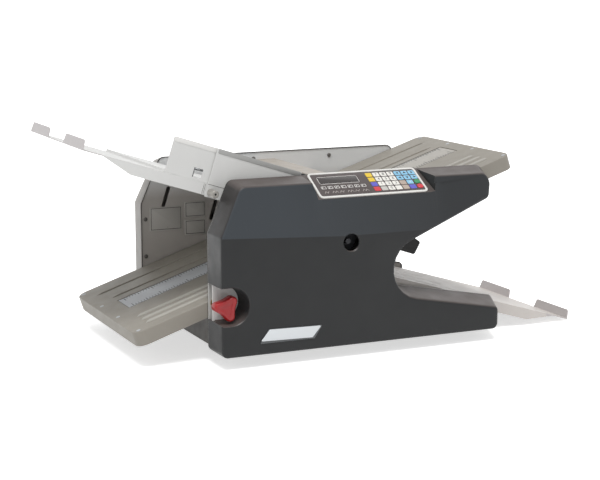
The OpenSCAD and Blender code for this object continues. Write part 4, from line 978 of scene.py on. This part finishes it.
blanks, label_lines = [], []
for x, z, width, height in RATING_PLATES:
    blanks.append(slab(plate_form(x, z, x + width, z + height, 2.0), inside_place, 0, 0.8, 0.25))
    label_lines += border(x + LINE_GAP, z + LINE_GAP, x + width - LINE_GAP, z + height - LINE_GAP,
                          LINE_WIDTH)
new_object("rating_blank_lines", merged(label_lines), LABEL_LINE, "label_plates", "label_white")
new_object("rating_blanks", merged(blanks), BARE_LABEL, "label_plates", "label_white")

new_object("edge_trim_rings", merged([trim_ring(TRIM_IN, TRIM_OUT), trim_ring(-TRIM_OUT, -TRIM_IN)]),
           BLACK_PLASTIC, "edge_trims", "rubber_black")

heads = [screw_head(x, -way * PLATE_IN, z, way) for x, z in COVER_SCREWS for way in (-1, 1)]
new_object("cover_screw_heads", merged(heads), DARK_SCREW, "cover_screws", "screw_steel")

# Thumb screws along Y: a knurled head with a stepped face and a blind hole, then its shank.
THUMB_TEETH, THUMB_CUT = 36, 0.35
THUMB_PROFILE = ((1.6, 4.0), (1.6, 0.6), (1.9, 0.15), (4.2, 0), (4.5, 0.5), (5.3, 0.5), (5.7, 1.0),
                 (6.0, 1.4, True), (6.0, 21.4, True), (5.6, 21.8), (4.0, 22.0), (2.0, 22.05),
                 (2.0, 26.4))
SOCKET_PROFILE = ((2.5, 0.45), (2.5, 0.9), (1.2, 1.0))
screw_low, screw_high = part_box("thumb_screws")
screw_mid = (screw_low + screw_high) / 2


def thumb_place(end, way):
    """A thumb screw's frame: h runs inwards from its end face."""
    return lambda a, b, h: Vector((screw_mid.x + a * MM, end + way * h * MM, screw_mid.z + b * MM))


thumb_ends = [thumb_place(screw_low.y, 1), thumb_place(screw_high.y, -1)]
sockets = [turned(place, SOCKET_PROFILE, 24) for place in thumb_ends]
new_object("thumb_screw_sockets", merged(sockets), BLACK_PLASTIC, "thumb_screws", "screw_steel")
thumbs = [turned(place, THUMB_PROFILE, 2 * THUMB_TEETH, THUMB_CUT) for place in thumb_ends]
new_object("thumb_screw_heads", merged(thumbs), THUMB_STEEL, "thumb_screws", "screw_steel", angle=25)

# The folded edges along the top of fold table 1's side walls, a little proud of them, and the seams.
BRACKET_Y, WALL_Y, HEM_LOW, HEM_HIGH = -150, -146, 49.2, 56.9


def side_place(y):
    return lambda a, b, h: table_1_at(a, y - h, b)


for name, start, end, y, material, slot in (
        ("bracket_hem", 208, 353, BRACKET_Y, HEM_GREY, "plate_grey"),
        ("wall_hem", 135, 225, WALL_Y, HEM_WHITE, "plate_white")):
    hem = slab(plate_form(start, HEM_LOW, end, HEM_HIGH, 2.6), side_place(y), -0.3, 0.5, 0.25)
    new_object(name, hem, material, None, slot)
seams = [block(side_place(BRACKET_Y), (206.3, -0.5, -0.2), (240, 0.2, 0.12)),
         block(side_place(WALL_Y - 0.5), (201.2, -17, -0.2), (201.8, -1, 0.1)),
         block(side_place(WALL_Y - 0.5), (203.4, -17, -0.2), (204.0, -1, 0.1))]
new_object("table_1_seams", merged(seams), LABEL_LINE, None, "plate_white")


# -------------------- finish of the CAD pieces
def dress(node, material, edge):
    """Gives a CAD piece its finish and a small rounded edge."""
    piece = frame["nodes"][node]
    for slot in piece.material_slots:
        slot.material = material
    if not piece.material_slots:
        piece.data.materials.append(material)
    weld = piece.modifiers.new("weld", "WELD")
    weld.merge_threshold = 0.000002
    soft_edges(piece, edge, 35)


for material, edge, nodes in (
        (PLATE_PAINT, 0.25, ["near_side_plate"]),
        (FAR_PLATE_PAINTED_SHADE, 0.25, ["far_side_plate"]),
        (PAN_PAINT, 0.3, ["base_pan"]),
        (PAN_PAINT, 0.4, ["cross_panel"]),
        (GUARD_PAINT, 0.3, ["feed_guard"]),
        (WHITE_PAINT, 0.3, ["knob_bracket"]),
        (WHITE_PAINT, 0.35, ["table_1_sheet", "table_1_upper", "table_1_bracket"]),
        (TABLE_PAINT, 0.35, ["table_2_sheet", "table_2_upper"]),
        (STEEL, 0.2, ["stop_screw_1", "stop_screw_2"]),
        (STEEL, 0.25, ["infeed_plate"]),
        (STEEL, 0.3, ["motor_pulley", "feed_shaft", "exit_shaft", "fold_stop_1", "fold_stop_2"]),
        (STEEL, 0.4, ["cross_rods"]),
        (BRONZE, 0.3, ["roller_bushes"]),
        (MOTOR_DARK, 0.8, ["stop_motors"]),
        (MOTOR_DARK, 1.5, ["drive_motor"]),
        (BOARD, 0.2, ["circuit_boards"]),
        (ROLLER_RUBBER, 0.5, ["main_roller", "upper_roller", "left_roller", "lower_roller"]),
        (FEED_RUBBER, 1.0, ["feed_tyres"]),
        (BLACK_RUBBER, 0.2, ["drive_belts"]),
        (BLACK_RUBBER, 0.5, ["retard_pad"]),
        (BLACK_RUBBER, 0.8, ["feet", "exit_wheels"]),
        (GEAR_PLASTIC, 0.2, ["main_gear", "upper_gear", "left_gear", "lower_gear"]),
        (GEAR_PLASTIC, 0.8, ["feed_clutch"]),
        (IDLER_PLASTIC, 0.3, ["knob_shaft"]),
        (IDLER_PLASTIC, 0.8, ["exit_idlers"]),
        (BLACK_PLASTIC, 0.4, ["power_inlet"]),
        (BLACK_PLASTIC, 0.5, ["power_switch"]),
        (BLACK_PLASTIC, 0.6, ["skew_lever"])):
    for node in nodes:
        dress(node, material, edge)

# -------------------- stage, light and camera
FLOOR_REACH = 30                        # metres
FLOOR_GLOW, FLOOR_SHARE, WORLD_LIGHT = 1.25, 0.5, 0.42
CAMERA_PLACE, CAMERA_ROUND, CAMERA_DOWN, CAMERA_LENS = (-1094.13, -2337.24, 613.79), 24.67, 10.16, 92.46


def stage_material():
    """Pale floor that looks white to the camera and in reflections, and keeps the shadow."""
    shader = Shader("stage_white")
    shader.settings({"Base Color": (0.93, 0.93, 0.93, 1), "Roughness": 0.9, "Specular IOR Level": 0.1})
    seen = shader.seen_by("Is Camera Ray", "Is Glossy Ray")
    share = shader.span(seen, 0, 1, 0, FLOOR_SHARE)
    glow = shader.node("ShaderNodeEmission", Strength=FLOOR_GLOW)
    dark = shader.node("ShaderNodeEmission", Strength=0.0)
    scale = shader.node("ShaderNodeMixShader")
    added = shader.node("ShaderNodeAddShader")
    output = next(n for n in shader.nodes if n.type == "OUTPUT_MATERIAL")
    shader.join(share, scale.inputs["Fac"])
    shader.join(dark.outputs[0], scale.inputs[1])
    shader.join(glow.outputs[0], scale.inputs[2])
    shader.join(shader.surface.outputs[0], added.inputs[0])
    shader.join(scale.outputs[0], added.inputs[1])
    shader.join(added.outputs[0], output.inputs["Surface"])
    return shader.material


def stage():
    mesh = bpy.data.meshes.new("floor")
    corners = ((-1, -1), (1, -1), (1, 1), (-1, 1))
    mesh.from_pydata([(x * FLOOR_REACH, y * FLOOR_REACH, 0) for x, y in corners], [], [(0, 1, 2, 3)])
    mesh.materials.append(stage_material())
    link("floor", mesh)


def world():
    """White to the camera, in reflections and through glass, and a plain level of light elsewhere."""
    made = bpy.data.worlds.new("studio")
    bpy.context.scene.world = made
    made.use_nodes = True
    sky = Nodes(made.node_tree)
    seen = sky.seen_by("Is Camera Ray", "Is Glossy Ray", "Is Transmission Ray")
    background = sky.nodes["Background"]
    background.inputs["Color"].default_value = (1, 1, 1, 1)
    sky.join(sky.span(seen, 0, 1, WORLD_LIGHT, 1.0), background.inputs["Strength"])


def sun(name, direction, strength, angle):
    light = bpy.data.lights.new(name, "SUN")
    light.energy = strength
    light.angle = math.radians(angle)
    link(name, light).rotation_euler = Vector(direction).to_track_quat("-Z", "Y").to_euler()


def camera():
    """The photograph's view."""
    lens = bpy.data.cameras.new("photo_view")
    lens.sensor_fit = "HORIZONTAL"
    lens.sensor_width = 36
    lens.lens = CAMERA_LENS
    lens.clip_start = 0.05
    lens.clip_end = 100
    holder = link("photo_view", lens)
    holder.location = at(*CAMERA_PLACE)
    holder.rotation_euler = (math.radians(90 - CAMERA_DOWN), 0, math.radians(-CAMERA_ROUND))
    bpy.context.scene.camera = holder


stage()
world()
sun("key_light", (0.2, 0.35, -1.0), 2.0, 25)
sun("fill_light", (0.9, 0.5, -0.45), 0.15, 60)
camera()
bpy.context.scene.view_settings.view_transform = "Standard"
